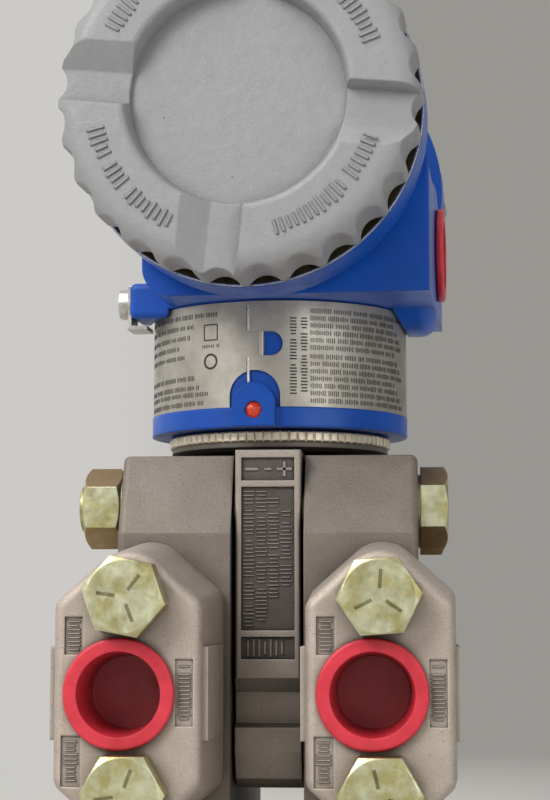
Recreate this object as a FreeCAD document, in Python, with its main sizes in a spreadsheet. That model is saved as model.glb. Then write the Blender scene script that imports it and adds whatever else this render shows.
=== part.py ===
"""Differential pressure transmitter, built as a parametric FreeCAD document.

Millimetres, +Z up, +X to the viewer's right, -Y towards the front.

Every piece is modelled about the neck axis: X and Y are measured from it, and Z from the
middle height of the process ports. One shift then puts the row's origin at the centre of the
four bracket holes, on the plane of the process covers' rear faces.

The driving sizes are the cells of the sheet called Sizes. Pieces read them by name.
"""
import FreeCAD, Part
import Sketcher
import os
import re
from math import hypot

from FreeCAD import Placement, Rotation, Vector

doc = FreeCAD.newDocument("pressure_transmitter")

# ---------------------------------------------------------------------------------------
# Driving sizes
# ---------------------------------------------------------------------------------------
SIZES = [
    # measuring end
    ("port_spacing", 54.0, "between the two process port axes, along X"),
    ("bolt_spacing", 41.3, "between the two bolts of a connector, along Z"),
    ("bolt_radius", 5.5, "7/16 inch bolt"),
    ("thread_play", 0.06, "radial room between a bolt and its tapped hole"),
    ("bolt_play", 0.45, "radial room between a bolt and its clearance hole"),
    ("tapped_radius", 4.96, "open tapped hole, 7/16-20, measured over the crests"),
    ("tapped_depth", 17.0, "depth of the tapped holes in the process covers"),
    ("tip_room", 1.0, "free depth past a screw's end"),
    # sensor body
    ("body_width", 15.6, "sensor body across X, seats left out"),
    ("body_depth", 82.0, "sensor body front to back"),
    ("body_bottom", 24.2, "from port height down to the body's underside"),
    ("body_round", 9.0, "lower front and rear corners of the body"),
    ("seat_radius", 24.5, "raised round seat that a process cover is bolted to"),
    ("seat_proud", 0.8, "height of the seat"),
    ("strip_foot", 2.0, "height where the marked front strip ends"),
    ("strip_end", 4.3, "plain end of the strip below the lower panel"),
    ("pad_top", -8.6, "height where the lower front pad starts"),
    ("front_recess", 3.5, "how far the front drops back between strip and pad"),
    ("rim_width", 1.5, "raised rim left round the strip's panels"),
    ("panel_depth", 0.8, "depth of the strip's panels"),
    ("panel_top", 53.7, "upper end of the top panel"),
    ("panel_split_high", 47.5, "rim between the top and the long panel"),
    ("panel_split_low", 12.25, "rim between the long and the lower panel"),
    ("dish_radius", 27.8, "flange under the knurled ring"),
    ("dish_gap", 0.9, "flange's underside above the process covers"),
    ("dish_top", "cover_height / 2 + dish_gap + dish_drop", "upper face of that flange"),
    ("dish_drop", 3.1, "depth of the dished underside"),
    ("dish_edge", 1.2, "thickness of the flange at its rim"),
    ("spigot_radius", 20.0, "spigot that the housing turns on"),
    ("spigot_height", 17.0, "height of the spigot above the flange"),
    ("swivel_play", 0.08, "radial running clearance of the housing on the spigot"),
    ("swivel_turn", -3.3, "turn of the housing on the spigot"),
    ("sensor_bore", 12.5, "bore in the spigot for the sensor header"),
    ("sensor_bore_depth", 14.0, "depth of that bore"),
    ("neck_seal_wire", 1.0, "wire radius of the O-ring in the spigot's groove"),
    ("neck_seal_up", 9.0, "height of that O-ring above the flange"),
    ("ring_radius", 28.4, "knurled ring"),
    ("ring_height", 2.7, "knurled ring"),
    ("ring_tooth", 0.55, "depth of a serration"),
    ("ring_teeth", 84, "number of serrations"),
    # process covers
    ("cover_depth", 88.0, "process cover front to back"),
    ("cover_height", 109.2, "process cover from foot to top"),
    ("cover_thick", 26.8, "process cover across X"),
    ("cover_flat", 71.6, "height of the upright part of the front and rear faces"),
    ("cover_top_depth", 70.0, "front to back at the very top and bottom"),
    ("cover_round", 1.8, "rounding of the outer edges"),
    ("cover_bolt_rows", 56.0, "between the front and rear cover bolts"),
    ("cover_bolt_edge", 12.3, "cover bolts from the top and the bottom of a process cover"),
    ("cover_bolt_tiers", "cover_height - 2 * cover_bolt_edge", "between upper and lower bolts"),
    ("cover_bolt_flats", 17.0, "across flats of the cover bolts and nuts"),
    ("cover_head", 6.6, "height of a cover bolt's head"),
    ("washer_face", 0.6, "height of the thin round face under a head or nut"),
    ("nut_height", 9.0, "height of a cover nut"),
    ("stud_end", 1.4, "bolt end beyond its nut"),
    ("chamber_radius", 19.5, "pressure chamber behind the diaphragm"),
    ("chamber_depth", 2.4, "depth of the chamber"),
    ("passage_radius", 3.2, "drilled passages"),
    ("port_boss_height", 27.0, "thickened band round the port passages"),
    ("port_boss_proud", 6.8, "how far that band stands out sideways"),
    ("gasket_outer", 23.6, "process cover gasket"),
    ("gasket_inner", 20.8, "process cover gasket"),
    ("gasket_thick", 1.6, "process cover gasket"),
    ("gasket_play", 0.1, "room beside the gasket in its groove"),
    ("diaphragm_radius", 18.5, "isolating diaphragm"),
    ("diaphragm_thick", 0.25, "isolating diaphragm sheet"),
    ("diaphragm_wave", 0.5, "height of its rings"),
    # process connectors
    ("connector_depth", 38.0, "process connector front to back"),
    ("connector_width", 31.8, "front face, across X"),
    ("connector_shoulder", 38.4, "front face, height of the straight sides"),
    ("connector_rise", 14.2, "front face, from shoulder to the sharp apex"),
    ("draft_side", 1.0, "how much wider each side is at the back"),
    ("draft_end", 3.2, "how much taller each end is at the back"),
    ("apex_round", 9.0, "rounding of the two ends"),
    ("shoulder_round", 3.5, "rounding of the four shoulders"),
    ("face_round", 2.2, "rounding of the front face's edge"),
    ("side_pad_height", 20.0, "machined pads on the sides"),
    ("side_pad_proud", 0.7, "machined pads on the sides"),
    ("port_offset", 1.6, "how far the threaded port sits off the bolts' line"),
    ("port_radius", 10.4, "1/2 NPT port"),
    ("port_depth", 22.0, "1/2 NPT port"),
    ("seal_outer", 9.2, "ring seal behind a connector"),
    ("seal_inner", 5.6, "ring seal behind a connector"),
    ("seal_thick", 2.0, "ring seal behind a connector"),
    ("seal_play", 0.3, "radial room round that seal"),
    ("connector_flats", 15.9, "across flats of the connector bolts"),
    ("connector_head", 7.0, "head height of the connector bolts"),
    ("mark_depth", 0.6, "depth of the bare recesses in the front face"),
    ("mark_high_edge", 2.4, "upper left recess from the front face's side"),
    ("mark_high_width", 3.9, "upper left recess"),
    ("mark_high_foot", 8.3, "upper left recess, lower end"),
    ("mark_high_top", 16.4, "upper left recess, upper end"),
    ("mark_low_edge", 1.8, "lower left recess from the front face's side"),
    ("mark_low_width", 4.2, "lower left recess"),
    ("mark_low_foot", -19.6, "lower left recess, lower end"),
    ("mark_low_top", -8.8, "lower left recess, upper end"),
    ("mark_right_edge", 1.7, "right recess from the front face's side"),
    ("mark_right_width", 3.8, "right recess"),
    ("mark_right_foot", -6.8, "right recess, lower end"),
    ("mark_right_top", 7.4, "right recess, upper end"),
    # vents
    ("vent_flats", 14.3, "vent plug across flats"),
    ("vent_head", 6.5, "vent plug's hexagon"),
    ("vent_thread", 6.6, "1/4 NPT vent plug thread radius"),
    ("vent_depth", 12.0, "threaded length of the vent plug"),
    ("vent_screw_radius", 2.6, "vent screw's stem"),
    ("vent_screw_flats", 8.0, "vent screw's hexagon"),
    ("vent_screw_head", 5.0, "vent screw's hexagon"),
    ("vent_screw_play", 0.08, "running clearance of the vent screw"),
    ("vent_screw_out", 1.2, "stem seen between the plug and the screw's hexagon"),
    # shipping plugs
    ("plug_flange", 12.0, "shipping plug's flange"),
    ("plug_lip", 2.0, "thickness of the flange"),
    ("plug_body", 9.9, "plug body at the flange"),
    ("plug_taper", 0.6, "how much smaller the body is at its end"),
    ("plug_length", 14.0, "plug body"),
    ("plug_mouth", 9.05, "hollow at the mouth"),
    ("plug_waist", 7.9, "hollow at the bottom"),
    ("plug_floor", 1.3, "closed end"),
    ("plug_round", 0.7, "rounding of the flange"),
    # housing
    ("foot_gap", 0.5, "room between the knurled ring and the housing"),
    ("housing_foot", "dish_top + ring_height + foot_gap", "underside of the foot ring"),
    ("foot_radius", 32.9, "foot ring"),
    ("foot_height", 4.9, "foot ring"),
    ("neck_radius", 32.1, "neck behind the data plate"),
    ("neck_height", 31.2, "neck with its foot ring"),
    ("block_bottom", "housing_foot + neck_height", "underside of the block above the neck"),
    ("block_left", 28.4, "left side of the block from the neck axis"),
    ("block_right", 41.0, "right side of the block, flush with the conduit boss"),
    ("block_front", 40.5, "front of the block"),
    ("block_back", 34.0, "rear of the block"),
    ("block_round", 7.0, "rounding of the block's left lower edge"),
    ("barrel_rise", 39.4, "barrel's axis above the block's underside"),
    ("barrel_height", "block_bottom + barrel_rise", "axis of the barrel"),
    ("barrel_radius", 36.0, "barrel between its collars"),
    ("collar_radius", 41.2, "collar at each end of the barrel"),
    ("collar_length", 15.0, "collar at each end of the barrel"),
    ("barrel_front", 61.0, "front face of the barrel"),
    ("barrel_rear", 45.0, "rear face of the barrel"),
    ("room_radius", 33.0, "bore of the two compartments"),
    ("bulkhead_front", 18.0, "front of the wall between the compartments"),
    ("bulkhead_thick", 4.0, "wall between the compartments"),
    ("thread_radius", 35.2, "threaded mouth of a compartment"),
    ("thread_length", 17.5, "threaded mouth of a compartment"),
    ("seal_mouth", 36.9, "widened mouth for the cover's O-ring"),
    ("seal_mouth_depth", 2.2, "widened mouth for the cover's O-ring"),
    ("spigot_room", 3.4, "room above the spigot"),
    ("bore_ceiling", "dish_top + spigot_height + spigot_room", "top of the swivel bore"),
    ("lead_hole", 3.3, "passage for the sensor lead"),
    ("lead_hole_back", 21.4, "that passage in front of the neck axis"),
    ("lead_room_radius", 24.0, "hollow above the spigot"),
    ("lead_room_height", 9.0, "hollow above the spigot"),
    ("conduit_rise", 15.7, "conduit entry above the block's underside"),
    ("conduit_height", "block_bottom + conduit_rise", "conduit entry"),
    ("conduit_back", 0.5, "conduit entry in front of the neck axis"),
    ("conduit_hub", 20.9, "boss round the conduit entry"),
    ("conduit_reach", 12.0, "where the hub starts, from the neck axis"),
    ("hub_round", 4.5, "rounding of the hub's end"),
    ("boss_left", 2.0, "lock screw boss, left of the middle"),
    ("boss_width", 10.6, "lock screw boss"),
    ("boss_height", 10.8, "lock screw boss"),
    ("boss_front", 35.0, "front of the boss from the neck axis"),
    ("lock_up", 4.0, "lock screw above the housing's underside"),
    ("lock_radius", 2.0, "M4 lock screw"),
    ("lock_length", 11.0, "lock screw"),
    ("lock_sunk", 0.7, "how deep the lock screw sits below the boss"),
    ("lug_left", 35.5, "left end of the ground lug"),
    ("lug_drop", 2.2, "ground lug below the block's underside"),
    ("lug_bottom", "block_bottom - lug_drop", "underside of the ground lug"),
    ("lug_height", 8.9, "ground lug"),
    ("lug_depth", 15.0, "ground lug front to back"),
    ("lug_front", 22.0, "front of the ground lug"),
    ("lug_round", 1.6, "rounding of the ground lug"),
    ("ground_radius", 2.5, "M5 ground screw"),
    ("ground_head", 3.8, "ground screw head radius"),
    ("ground_head_thick", 2.5, "ground screw head"),
    ("ground_length", 6.4, "ground screw"),
    ("clamp_thick", 1.0, "ground clamp sheet"),
    ("clamp_width", 8.0, "ground clamp sheet"),
    ("clamp_rise", 4.2, "ground clamp above the screw"),
    ("clamp_drop", 7.0, "ground clamp below the screw"),
    ("clamp_foot", 4.0, "ground clamp's turned-in foot"),
    # data plate
    ("plate_gap", 0.05, "plate off the neck"),
    ("plate_thick", 0.45, "plate sheet"),
    ("plate_height", 25.9, "plate from the foot ring up"),
    ("plate_room", 7.0, "height of the room cut round the plate below the block"),
    ("plate_end", 3.8, "plate's outer end, left of the middle"),
    ("plate_slot_left", 0.2, "slot's middle, left of the neck's middle"),
    ("plate_slot_width", 10.3, "slot across the overlap"),
    ("plate_slot_height", 5.9, "slot across the overlap"),
    ("plate_tongue", -0.4, "end of the lower leaf's tongue in the slot, left of the middle"),
    ("plate_slot_up", 15.4, "slot's middle above the plate's lower edge"),
    ("plate_arch_width", 12.6, "arch cut out round the boss"),
    ("plate_arch_height", 9.0, "arch cut out round the boss"),
    # housing covers
    ("lid_radius", 41.4, "housing cover over its lobes"),
    ("lid_thick", 17.0, "housing cover in front of the barrel"),
    ("lid_shoulder", 36.5, "ring that seats on the barrel"),
    ("lid_gap", 1.8, "lobed rim off the barrel"),
    ("lid_skirt", 34.9, "threaded skirt"),
    ("lid_skirt_length", 16.0, "threaded skirt"),
    ("lid_cavity", 30.5, "hollow behind the cover's face"),
    ("lid_face", 5.3, "thickness of the face"),
    ("lid_sunk", 5.2, "centre of the face below its ring"),
    ("lid_centre", 24.4, "radius of the sunk centre"),
    ("lid_flare", 1.1, "lean of the wall round the sunk centre"),
    ("lid_ease", 1.4, "rounding of the ring's inner edge"),
    ("lid_brow", 5.5, "rounding from the ring to the lobes"),
    ("lid_lobes", 28, "scallops round the rim"),
    ("scallop_radius", 4.66, "scallop"),
    ("lobe_round", 0.9, "rounding of the lobes between the scallops"),
    ("scallop_at", 43.96, "scallop's axis from the cover's axis"),
    ("slot_width", 7.0, "flat of a wrench slot"),
    ("slot_depth", 4.0, "depth of a wrench slot"),
    ("slot_ramp", 6.2, "gentle side of a wrench slot"),
    ("slot_steep", 1.1, "steep side of a wrench slot"),
    ("ring_wire", 0.9, "wire radius of the covers' O-rings"),
    ("ring_fit", 0.06, "room between a skirt and its O-ring"),
    ("ring_sunk", 0.25, "O-ring below the barrel's face"),
    ("lid_clock", -6.0, "turn of the housing covers when they are screwed home"),
    # inside the housing
    ("inner_play", 0.6, "room round what the compartments hold"),
    ("module_depth", 22.0, "electronics module"),
    ("socket_width", 20.0, "recess in the module's face for its display's plug"),
    ("socket_height", 10.0, "that recess"),
    ("socket_drop", 4.0, "that recess below the barrel's axis"),
    ("socket_depth", 5.0, "that recess"),
    ("module_screw_edge", 11.0, "module screws from the compartment's wall"),
    ("module_screws", "2 * (room_radius - module_screw_edge)", "between the module's screws"),
    ("small_screw", 1.5, "M3 screws"),
    ("small_head", 2.8, "M3 screw heads"),
    ("small_head_thick", 2.2, "M3 screw heads"),
    ("small_play", 0.15, "room round an M3 screw"),
    ("small_bite", 2.8, "how far an M3 screw enters the bulkhead"),
    ("block_depth", 18.0, "terminal block"),
    ("block_flange", 3.0, "thin edge of the terminal block"),
    ("block_edge", 7.0, "raised part of the block from the compartment's wall"),
    ("block_seat", 5.0, "block under the heads of its fixing screws"),
    ("block_screw_edge", 10.0, "terminal block screws from the compartment's wall"),
    ("block_screws", "2 * (room_radius - block_screw_edge)", "between the block's screws"),
    ("terminal_pitch", 13.0, "between two terminals"),
    ("terminal_well", 4.8, "well round a terminal screw"),
    ("terminal_well_depth", 6.0, "well round a terminal screw"),
    ("terminal_screw", 6.0, "length of a terminal screw"),
    ("lead_radius", 2.2, "sensor lead"),
    ("lead_plug", 6.5, "plug at the lead's lower end"),
    ("lead_plug_length", 6.0, "plug at the lead's lower end"),
    ("lead_rise", 17.0, "lead above its run across the hollow"),
    ("header_thick", 4.0, "sensor header"),
    ("header_button", 7.0, "raised middle of the sensor header"),
    ("header_step", 1.5, "height of that middle"),
    ("lead_gap", 0.3, "lead's plug above the header"),
]
ALIASES = {row[0] for row in SIZES}

sheet = doc.addObject("Spreadsheet::Sheet", "Sizes")
for line, (alias, number, meaning) in enumerate(SIZES, start=1):
    sheet.set("A%d" % line, alias)
    sheet.set("C%d" % line, meaning)
    sheet.setAlias("B%d" % line, alias)
for line, (alias, number, meaning) in enumerate(SIZES, start=1):
    sheet.set("B%d" % line, "=" + number if isinstance(number, str) else repr(number))
doc.recompute()


def ex(text):
    """Turn size names in a formula into references to the sheet."""
    def cell(match):
        word = match.group(0)
        return "Sizes." + word if word in ALIASES else word
    return re.sub(r"[a-z][a-z0-9_]*", cell, str(text))


def value(text):
    """The number that a formula of sizes gives now."""
    result = sheet.evalExpression(ex(text))
    return float(getattr(result, "Value", result))


PIECES = []
TOPWORKS = {
    "housing", "data_plate", "lock_screw", "ground_screw", "ground_clamp", "front_cover",
    "rear_cover", "front_cover_seal", "rear_cover_seal", "electronics_module",
    "module_screw_1", "module_screw_2", "terminal_block", "block_screw_1", "block_screw_2",
    "terminal_screw_1", "terminal_screw_2", "terminal_screw_3", "conduit_plug",
    "sensor_lead",
}
SHIFT = "cover_depth / 2"
ORIGIN = ("0", "0", "0")
UPRIGHT = Rotation()
FORWARD = Rotation(Vector(1, 0, 0), 90)
REARWARD = Rotation(Vector(1, 0, 0), -90)
RIGHTWARD = Rotation(Vector(0, 1, 0), 90)
LEFTWARD = Rotation(Vector(0, 1, 0), -90)


def place(thing, at=ORIGIN, turn=UPRIGHT, shifted=False):
    """Put a thing at a point given by three formulas, and bind the point to the sheet."""
    across, along, height = at
    if shifted:
        along = "%s - %s" % (along, SHIFT)
    thing.Placement = Placement(Vector(), turn)
    for axis, formula in zip("xyz", (across, along, height)):
        thing.setExpression("Placement.Base." + axis, ex(formula))


def settle(thing, name, at, turn):
    """Put a finished piece at its place; what sits on the swivel turns with the housing."""
    if name in TOPWORKS:
        across, along, height = at
        angle = "(1deg * swivel_turn)"
        at = ("(%s) * cos%s - (%s) * sin%s" % (across, angle, along, angle),
              "(%s) * sin%s + (%s) * cos%s" % (across, angle, along, angle), height)
        turn = Rotation(Vector(0, 0, 1), value("swivel_turn")).multiply(turn)
    place(thing, at, turn, shifted=True)


def publish(thing, name):
    """Name a finished sub-part: its Label names its file."""
    thing.Label = name
    PIECES.append(thing)
    return thing


class Piece:
    """A sub-part made as one PartDesign body."""

    PLANES = {"XY": "XY_Plane", "XZ": "XZ_Plane", "YZ": "YZ_Plane"}

    def __init__(self, name, at=ORIGIN, turn=UPRIGHT):
        self.name = name
        self.count = 0
        self.body = doc.addObject("PartDesign::Body", name)
        settle(self.body, name, at, turn)
        publish(self.body, name)

    def label(self, kind):
        self.count += 1
        return "%s_%s_%d" % (self.name, kind, self.count)

    def sketch(self, plane, offset="0"):
        """An empty sketch on one of the body's own planes."""
        sketch = self.body.newObject("Sketcher::SketchObject", self.label("sketch"))
        for feature in self.body.Origin.OriginFeatures:
            if feature.Role == self.PLANES[plane]:
                sketch.AttachmentSupport = (feature, [""])
        sketch.MapMode = "FlatFace"
        if offset != "0":
            sketch.setExpression("AttachmentOffset.Base.z", ex(offset))
        return sketch

    def polygon(self, plane, points, offset="0"):
        sketch = self.sketch(plane, offset)
        draw_polygon(sketch, points)
        return sketch

    def circle(self, plane, across, up, radius, offset="0"):
        sketch = self.sketch(plane, offset)
        draw_circle(sketch, across, up, radius)
        return sketch

    def add(self, kind, profile, **settings):
        """A feature of this body; text settings are formulas of sizes."""
        before = self.body.Shape.Volume if self.body.Tip else 0.0
        feature = self.body.newObject("PartDesign::" + kind, self.label(kind.lower()))
        if profile is not None:
            feature.Profile = profile
            profile.Visibility = False
        for key, setting in settings.items():
            if isinstance(setting, str) and key not in ("SideType",):
                feature.setExpression(key, ex(setting))
            else:
                setattr(feature, key, setting)
        doc.recompute()
        after = self.body.Shape.Volume
        if abs(after - before) < 1e-6:
            raise RuntimeError("%s changed nothing" % feature.Name)
        return feature

    def revolve(self, profile):
        return self.add("Revolution", profile, ReferenceAxis=(profile, ["V_Axis"]), Angle=360)

    def pad(self, profile, length, **settings):
        return self.add("Pad", profile, Length=length, **settings)

    def pocket(self, profile, length, **settings):
        return self.add("Pocket", profile, Length=length, **settings)

    def round_edges(self, radius, chosen):
        """Round the edges of the body's shape that the given test picks."""
        tip = self.body.Tip
        names = ["Edge%d" % number for number, edge in enumerate(tip.Shape.Edges, start=1)
                 if chosen(edge)]
        if not names:
            raise RuntimeError("no edge of %s to round" % self.name)
        return self.add("Fillet", None, Base=(tip, names), Radius=radius)

    def polar(self, features, axis, number):
        """Repeat features round the body's own axis."""
        pattern = self.body.newObject("PartDesign::PolarPattern", self.label("pattern"))
        pattern.Originals = features
        pattern.Axis = axis
        pattern.Angle = 360
        pattern.setExpression("Occurrences", ex(number))
        self.body.Tip = pattern
        doc.recompute()
        return pattern


def draw_polygon(sketch, points):
    """Draw a closed outline through points whose coordinates are formulas of sizes."""
    numbers = [(value(across), value(up)) for across, up in points]
    first = sketch.GeometryCount
    total = len(points)
    for index, (start, end) in enumerate(zip(numbers, numbers[1:] + numbers[:1])):
        sketch.addGeometry(Part.LineSegment(Vector(*start, 0), Vector(*end, 0)))
    for index in range(total):
        after = first + (index + 1) % total
        sketch.addConstraint(Sketcher.Constraint("Coincident", first + index, 2, after, 1))
    for index, point in enumerate(points):
        for kind, formula, number, axis in zip(
            ("DistanceX", "DistanceY"), point, numbers[index], (-2, -1)
        ):
            pin_point(sketch, first + index, 1, kind, formula, number, axis)


def pin_point(sketch, geometry, end, kind, formula, number, axis):
    """Hold one coordinate of a sketch point at a formula of sizes."""
    if str(formula) == "0":
        sketch.addConstraint(Sketcher.Constraint("PointOnObject", geometry, end, axis))
        return
    held = sketch.addConstraint(Sketcher.Constraint(kind, -1, 1, geometry, end, number))
    sketch.setExpression("Constraints[%d]" % held, ex(formula))


def draw_circle(sketch, across, up, radius):
    """Draw a circle whose centre and radius are formulas of sizes."""
    centre = Vector(value(across), value(up), 0)
    drawn = sketch.addGeometry(Part.Circle(centre, Vector(0, 0, 1), value(radius)))
    pin_point(sketch, drawn, 3, "DistanceX", across, centre.x, -2)
    pin_point(sketch, drawn, 3, "DistanceY", up, centre.y, -1)
    held = sketch.addConstraint(Sketcher.Constraint("Radius", drawn, value(radius)))
    sketch.setExpression("Constraints[%d]" % held, ex(radius))


def turned(name, points, at=ORIGIN, turn=UPRIGHT):
    """A piece turned about its own Z axis from a radius and height outline."""
    piece = Piece(name, at, turn)
    piece.revolve(piece.polygon("XZ", points))
    return piece


# Part primitives, bound to the sheet ------------------------------------------------------

def primitive(kind, name, at, turn, sizes):
    thing = doc.addObject("Part::" + kind, name)
    for key, formula in sizes.items():
        if isinstance(formula, str):
            thing.setExpression(key, ex(formula))
        else:
            setattr(thing, key, formula)
    place(thing, at, turn)
    return thing


def cylinder(name, radius, height, at=ORIGIN, turn=UPRIGHT):
    return primitive("Cylinder", name, at, turn, {"Radius": radius, "Height": height})


def cone(name, low, high, height, at=ORIGIN, turn=UPRIGHT):
    return primitive("Cone", name, at, turn, {"Radius1": low, "Radius2": high, "Height": height})


def box(name, length, width, height, at=ORIGIN, turn=UPRIGHT):
    return primitive("Box", name, at, turn, {"Length": length, "Width": width, "Height": height})


def torus(name, major, minor, at=ORIGIN, turn=UPRIGHT):
    return primitive("Torus", name, at, turn, {"Radius1": major, "Radius2": minor})


def prism(name, flats, height, at=ORIGIN, turn=UPRIGHT):
    """A hexagonal prism given by its width across flats."""
    return primitive("Prism", name, at, turn,
                     {"Polygon": 6, "Circumradius": "(%s) / sqrt(3)" % flats, "Height": height})


def extruded(name, points, length, at=ORIGIN, turn=UPRIGHT):
    """A prism on an outline drawn in the plane of a turned sketch, along its normal."""
    sketch = doc.addObject("Sketcher::SketchObject", name + "_outline")
    draw_polygon(sketch, points)
    place(sketch, at, turn)
    solid = doc.addObject("Part::Extrusion", name)
    solid.Base = sketch
    solid.DirMode = "Normal"
    solid.Solid = True
    solid.setExpression("LengthFwd", ex(length))
    return solid


def fused(name, parts):
    joined = doc.addObject("Part::MultiFuse", name)
    joined.Shapes = parts
    joined.Refine = True
    return joined


def shared(name, parts):
    """What all the parts have in common."""
    common = doc.addObject("Part::MultiCommon", name)
    common.Shapes = parts
    return common


def cut(name, base, tool):
    result = doc.addObject("Part::Cut", name)
    result.Base = base
    result.Tool = tool
    return result


def rounded(name, base, radius, chosen):
    """Round the chosen edges of a Part object by a formula of sizes."""
    doc.recompute()
    amount = value(radius)
    edges = [(number, amount, amount) for number, edge in enumerate(base.Shape.Edges, start=1)
             if chosen(edge)]
    if not edges:
        raise RuntimeError("no edge of %s to round" % base.Name)
    result = doc.addObject("Part::Fillet", name)
    result.Base = base
    result.Edges = edges
    return result


def finish(thing, name, at=ORIGIN, turn=UPRIGHT):
    """Publish a Part object as a sub-part, at its place."""
    settle(thing, name, at, turn)
    return publish(thing, name)


# Tests that pick edges ----------------------------------------------------------------------

def near(number, formula, slack=0.01):
    return abs(number - value(formula)) < slack


def is_circle(edge):
    return isinstance(edge.Curve, Part.Circle)


def runs_along(edge, axis):
    """True for a straight edge that runs along the given axis, 0, 1 or 2."""
    if len(edge.Vertexes) != 2:
        return False
    span = edge.Vertexes[1].Point - edge.Vertexes[0].Point
    return span.Length > 1e-6 and abs(abs(span[axis]) - span.Length) < 1e-6


# ---------------------------------------------------------------------------------------
# Fasteners
# ---------------------------------------------------------------------------------------

def hexagon(name, flats, height, both_ends=False):
    """A hexagon chamfered at 30 degrees on its outer end, or on both."""
    slope = "(%s) * sqrt(3)" % height
    crown = "(%s) * 0.485" % flats
    blank = prism(name + "_blank", flats, height)
    top = cone(name + "_crown", "%s + %s" % (crown, slope), crown, height)
    parts = [blank, top]
    if both_ends:
        parts.append(cone(name + "_base", crown, "%s + %s" % (crown, slope), height))
    return shared(name + "_hexagon", parts)


def hex_bolt(name, flats, head, length, at, turn, face="0"):
    """A bolt whose head stands on the plane z = 0 and whose shank runs down from it."""
    top = hexagon(name, flats, head)
    parts = [top]
    if face != "0":
        place(top, ("0", "0", face))
        parts.append(cylinder(name + "_face", "(%s) * 0.47" % flats, face))
    bevel = "bolt_radius * 0.15"
    parts.append(cylinder(name + "_shank", "bolt_radius", "%s - %s" % (length, bevel),
                          ("0", "0", "-(%s) + %s" % (length, bevel))))
    parts.append(cone(name + "_tip", "bolt_radius - %s" % bevel, "bolt_radius", bevel,
                      ("0", "0", "-(%s)" % length)))
    return finish(fused(name, parts), name, at, turn)


def small_screw(name, length, at, turn, radius="small_screw", head="small_head",
                thick="small_head_thick"):
    """A round-headed slotted screw: head on z = 0, shank below."""
    blank = fused(name + "_blank", [
        cylinder(name + "_head", head, thick),
        cylinder(name + "_shank", radius, length, ("0", "0", "-(%s)" % length)),
    ])
    slot = box(name + "_slot", "2.2 * %s" % head, "0.35 * %s" % head, thick,
               ("-1.1 * %s" % head, "-0.175 * %s" % head, "0.55 * %s" % thick))
    return finish(cut(name, blank, slot), name, at, turn)


# ---------------------------------------------------------------------------------------
# Measuring end
# ---------------------------------------------------------------------------------------
COVER_FACE = "body_width / 2 + seat_proud"
COVER_OUTSIDE = "%s + cover_thick" % COVER_FACE
PORT_X = "port_spacing / 2"
CONNECTOR_BACK = "cover_depth / 2"
CONNECTOR_FRONT = "cover_depth / 2 + connector_depth"


def make_sensor_body():
    """Cast body: marked strip, lower pad, two round seats, flange and spigot."""
    half = "body_depth / 2"
    dip = "(%s - front_recess)" % half
    top = "(dish_top - dish_drop)"
    outline = [
        ("-" + half, top), ("-" + half, "strip_foot"), ("-" + dip, "strip_foot - front_recess"),
        ("-" + dip, "pad_top"), ("-(%s - 1)" % half, "pad_top - 1"),
        ("-(%s - 1)" % half, "-body_bottom + body_round"),
        ("-(%s - 1) + body_round * 0.3" % half, "-body_bottom + body_round * 0.3"),
        ("-(%s - 1) + body_round" % half, "-body_bottom"),
        ("%s - body_round" % half, "-body_bottom"),
        ("%s - body_round * 0.3" % half, "-body_bottom + body_round * 0.3"),
        (half, "-body_bottom + body_round"), (half, top),
    ]
    side = Rotation(Vector(1, 1, 1), 120)
    slab = extruded("body_slab", outline, "body_width", ("-body_width / 2", "0", "0"), side)
    seats = cylinder("body_seats", "seat_radius", "body_width + 2 * seat_proud",
                     ("-(%s)" % COVER_FACE, "0", "0"), RIGHTWARD)
    dish = doc.addObject("Part::Revolution", "body_dish")
    dish.Source = dish_outline()
    dish.Axis = Vector(0, 0, 1)
    dish.Solid = True
    spigot = cylinder("body_spigot", "spigot_radius", "spigot_height",
                      ("0", "0", "dish_top"))
    blank = fused("body_blank", [slab, seats, dish, spigot])
    tools = [
        cylinder("body_sensor_bore", "sensor_bore", "sensor_bore_depth + 1",
                 ("0", "0", "dish_top + spigot_height - sensor_bore_depth")),
        cylinder("body_fill_passage", "passage_radius / 2", "dish_top",
                 ("0", "0", "0")),
        cut("body_seal_groove",
            cylinder("body_groove_outside", "spigot_radius + 1", "2 * neck_seal_wire + 0.3",
                     ("0", "0", "dish_top + neck_seal_up - neck_seal_wire - 0.15")),
            cylinder("body_groove_floor", "spigot_radius - 2 * neck_seal_wire - 0.1",
                     "2 * neck_seal_wire + 2",
                     ("0", "0", "dish_top + neck_seal_up - neck_seal_wire - 1"))),
    ]
    for row in (-1, 1):
        tools.append(cylinder("body_bolt_hole_%d" % (2 + row), "bolt_radius + bolt_play",
                              "body_width + 2",
                              ("-body_width / 2 - 1", "%d * cover_bolt_rows / 2" % row,
                               "cover_bolt_tiers / 2"), RIGHTWARD))
    for name, low, high in (
        ("top", "panel_split_high + rim_width / 2", "panel_top"),
        ("long", "panel_split_low + rim_width / 2", "panel_split_high - rim_width / 2"),
        ("low", "strip_foot + strip_end", "panel_split_low - rim_width / 2"),
    ):
        tools.append(box("body_panel_" + name, "body_width - 2 * rim_width",
                         "panel_depth + 1", "(%s) - (%s)" % (high, low),
                         ("-body_width / 2 + rim_width", "-%s - 1" % half, low)))
    made = cut("body_cut", blank, fused("body_tools", tools))
    front = value("-(%s)" % half)

    def strip_corner(edge):
        box_ = edge.BoundBox
        return (runs_along(edge, 2) and near(abs(box_.XMin), "body_width / 2")
                and abs(box_.YMin - front) < 0.01 and box_.ZLength > value("body_width"))
    softened = rounded("sensor_body_made", made, "rim_width * 0.45", strip_corner)
    return finish(softened, "sensor_body")


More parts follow.
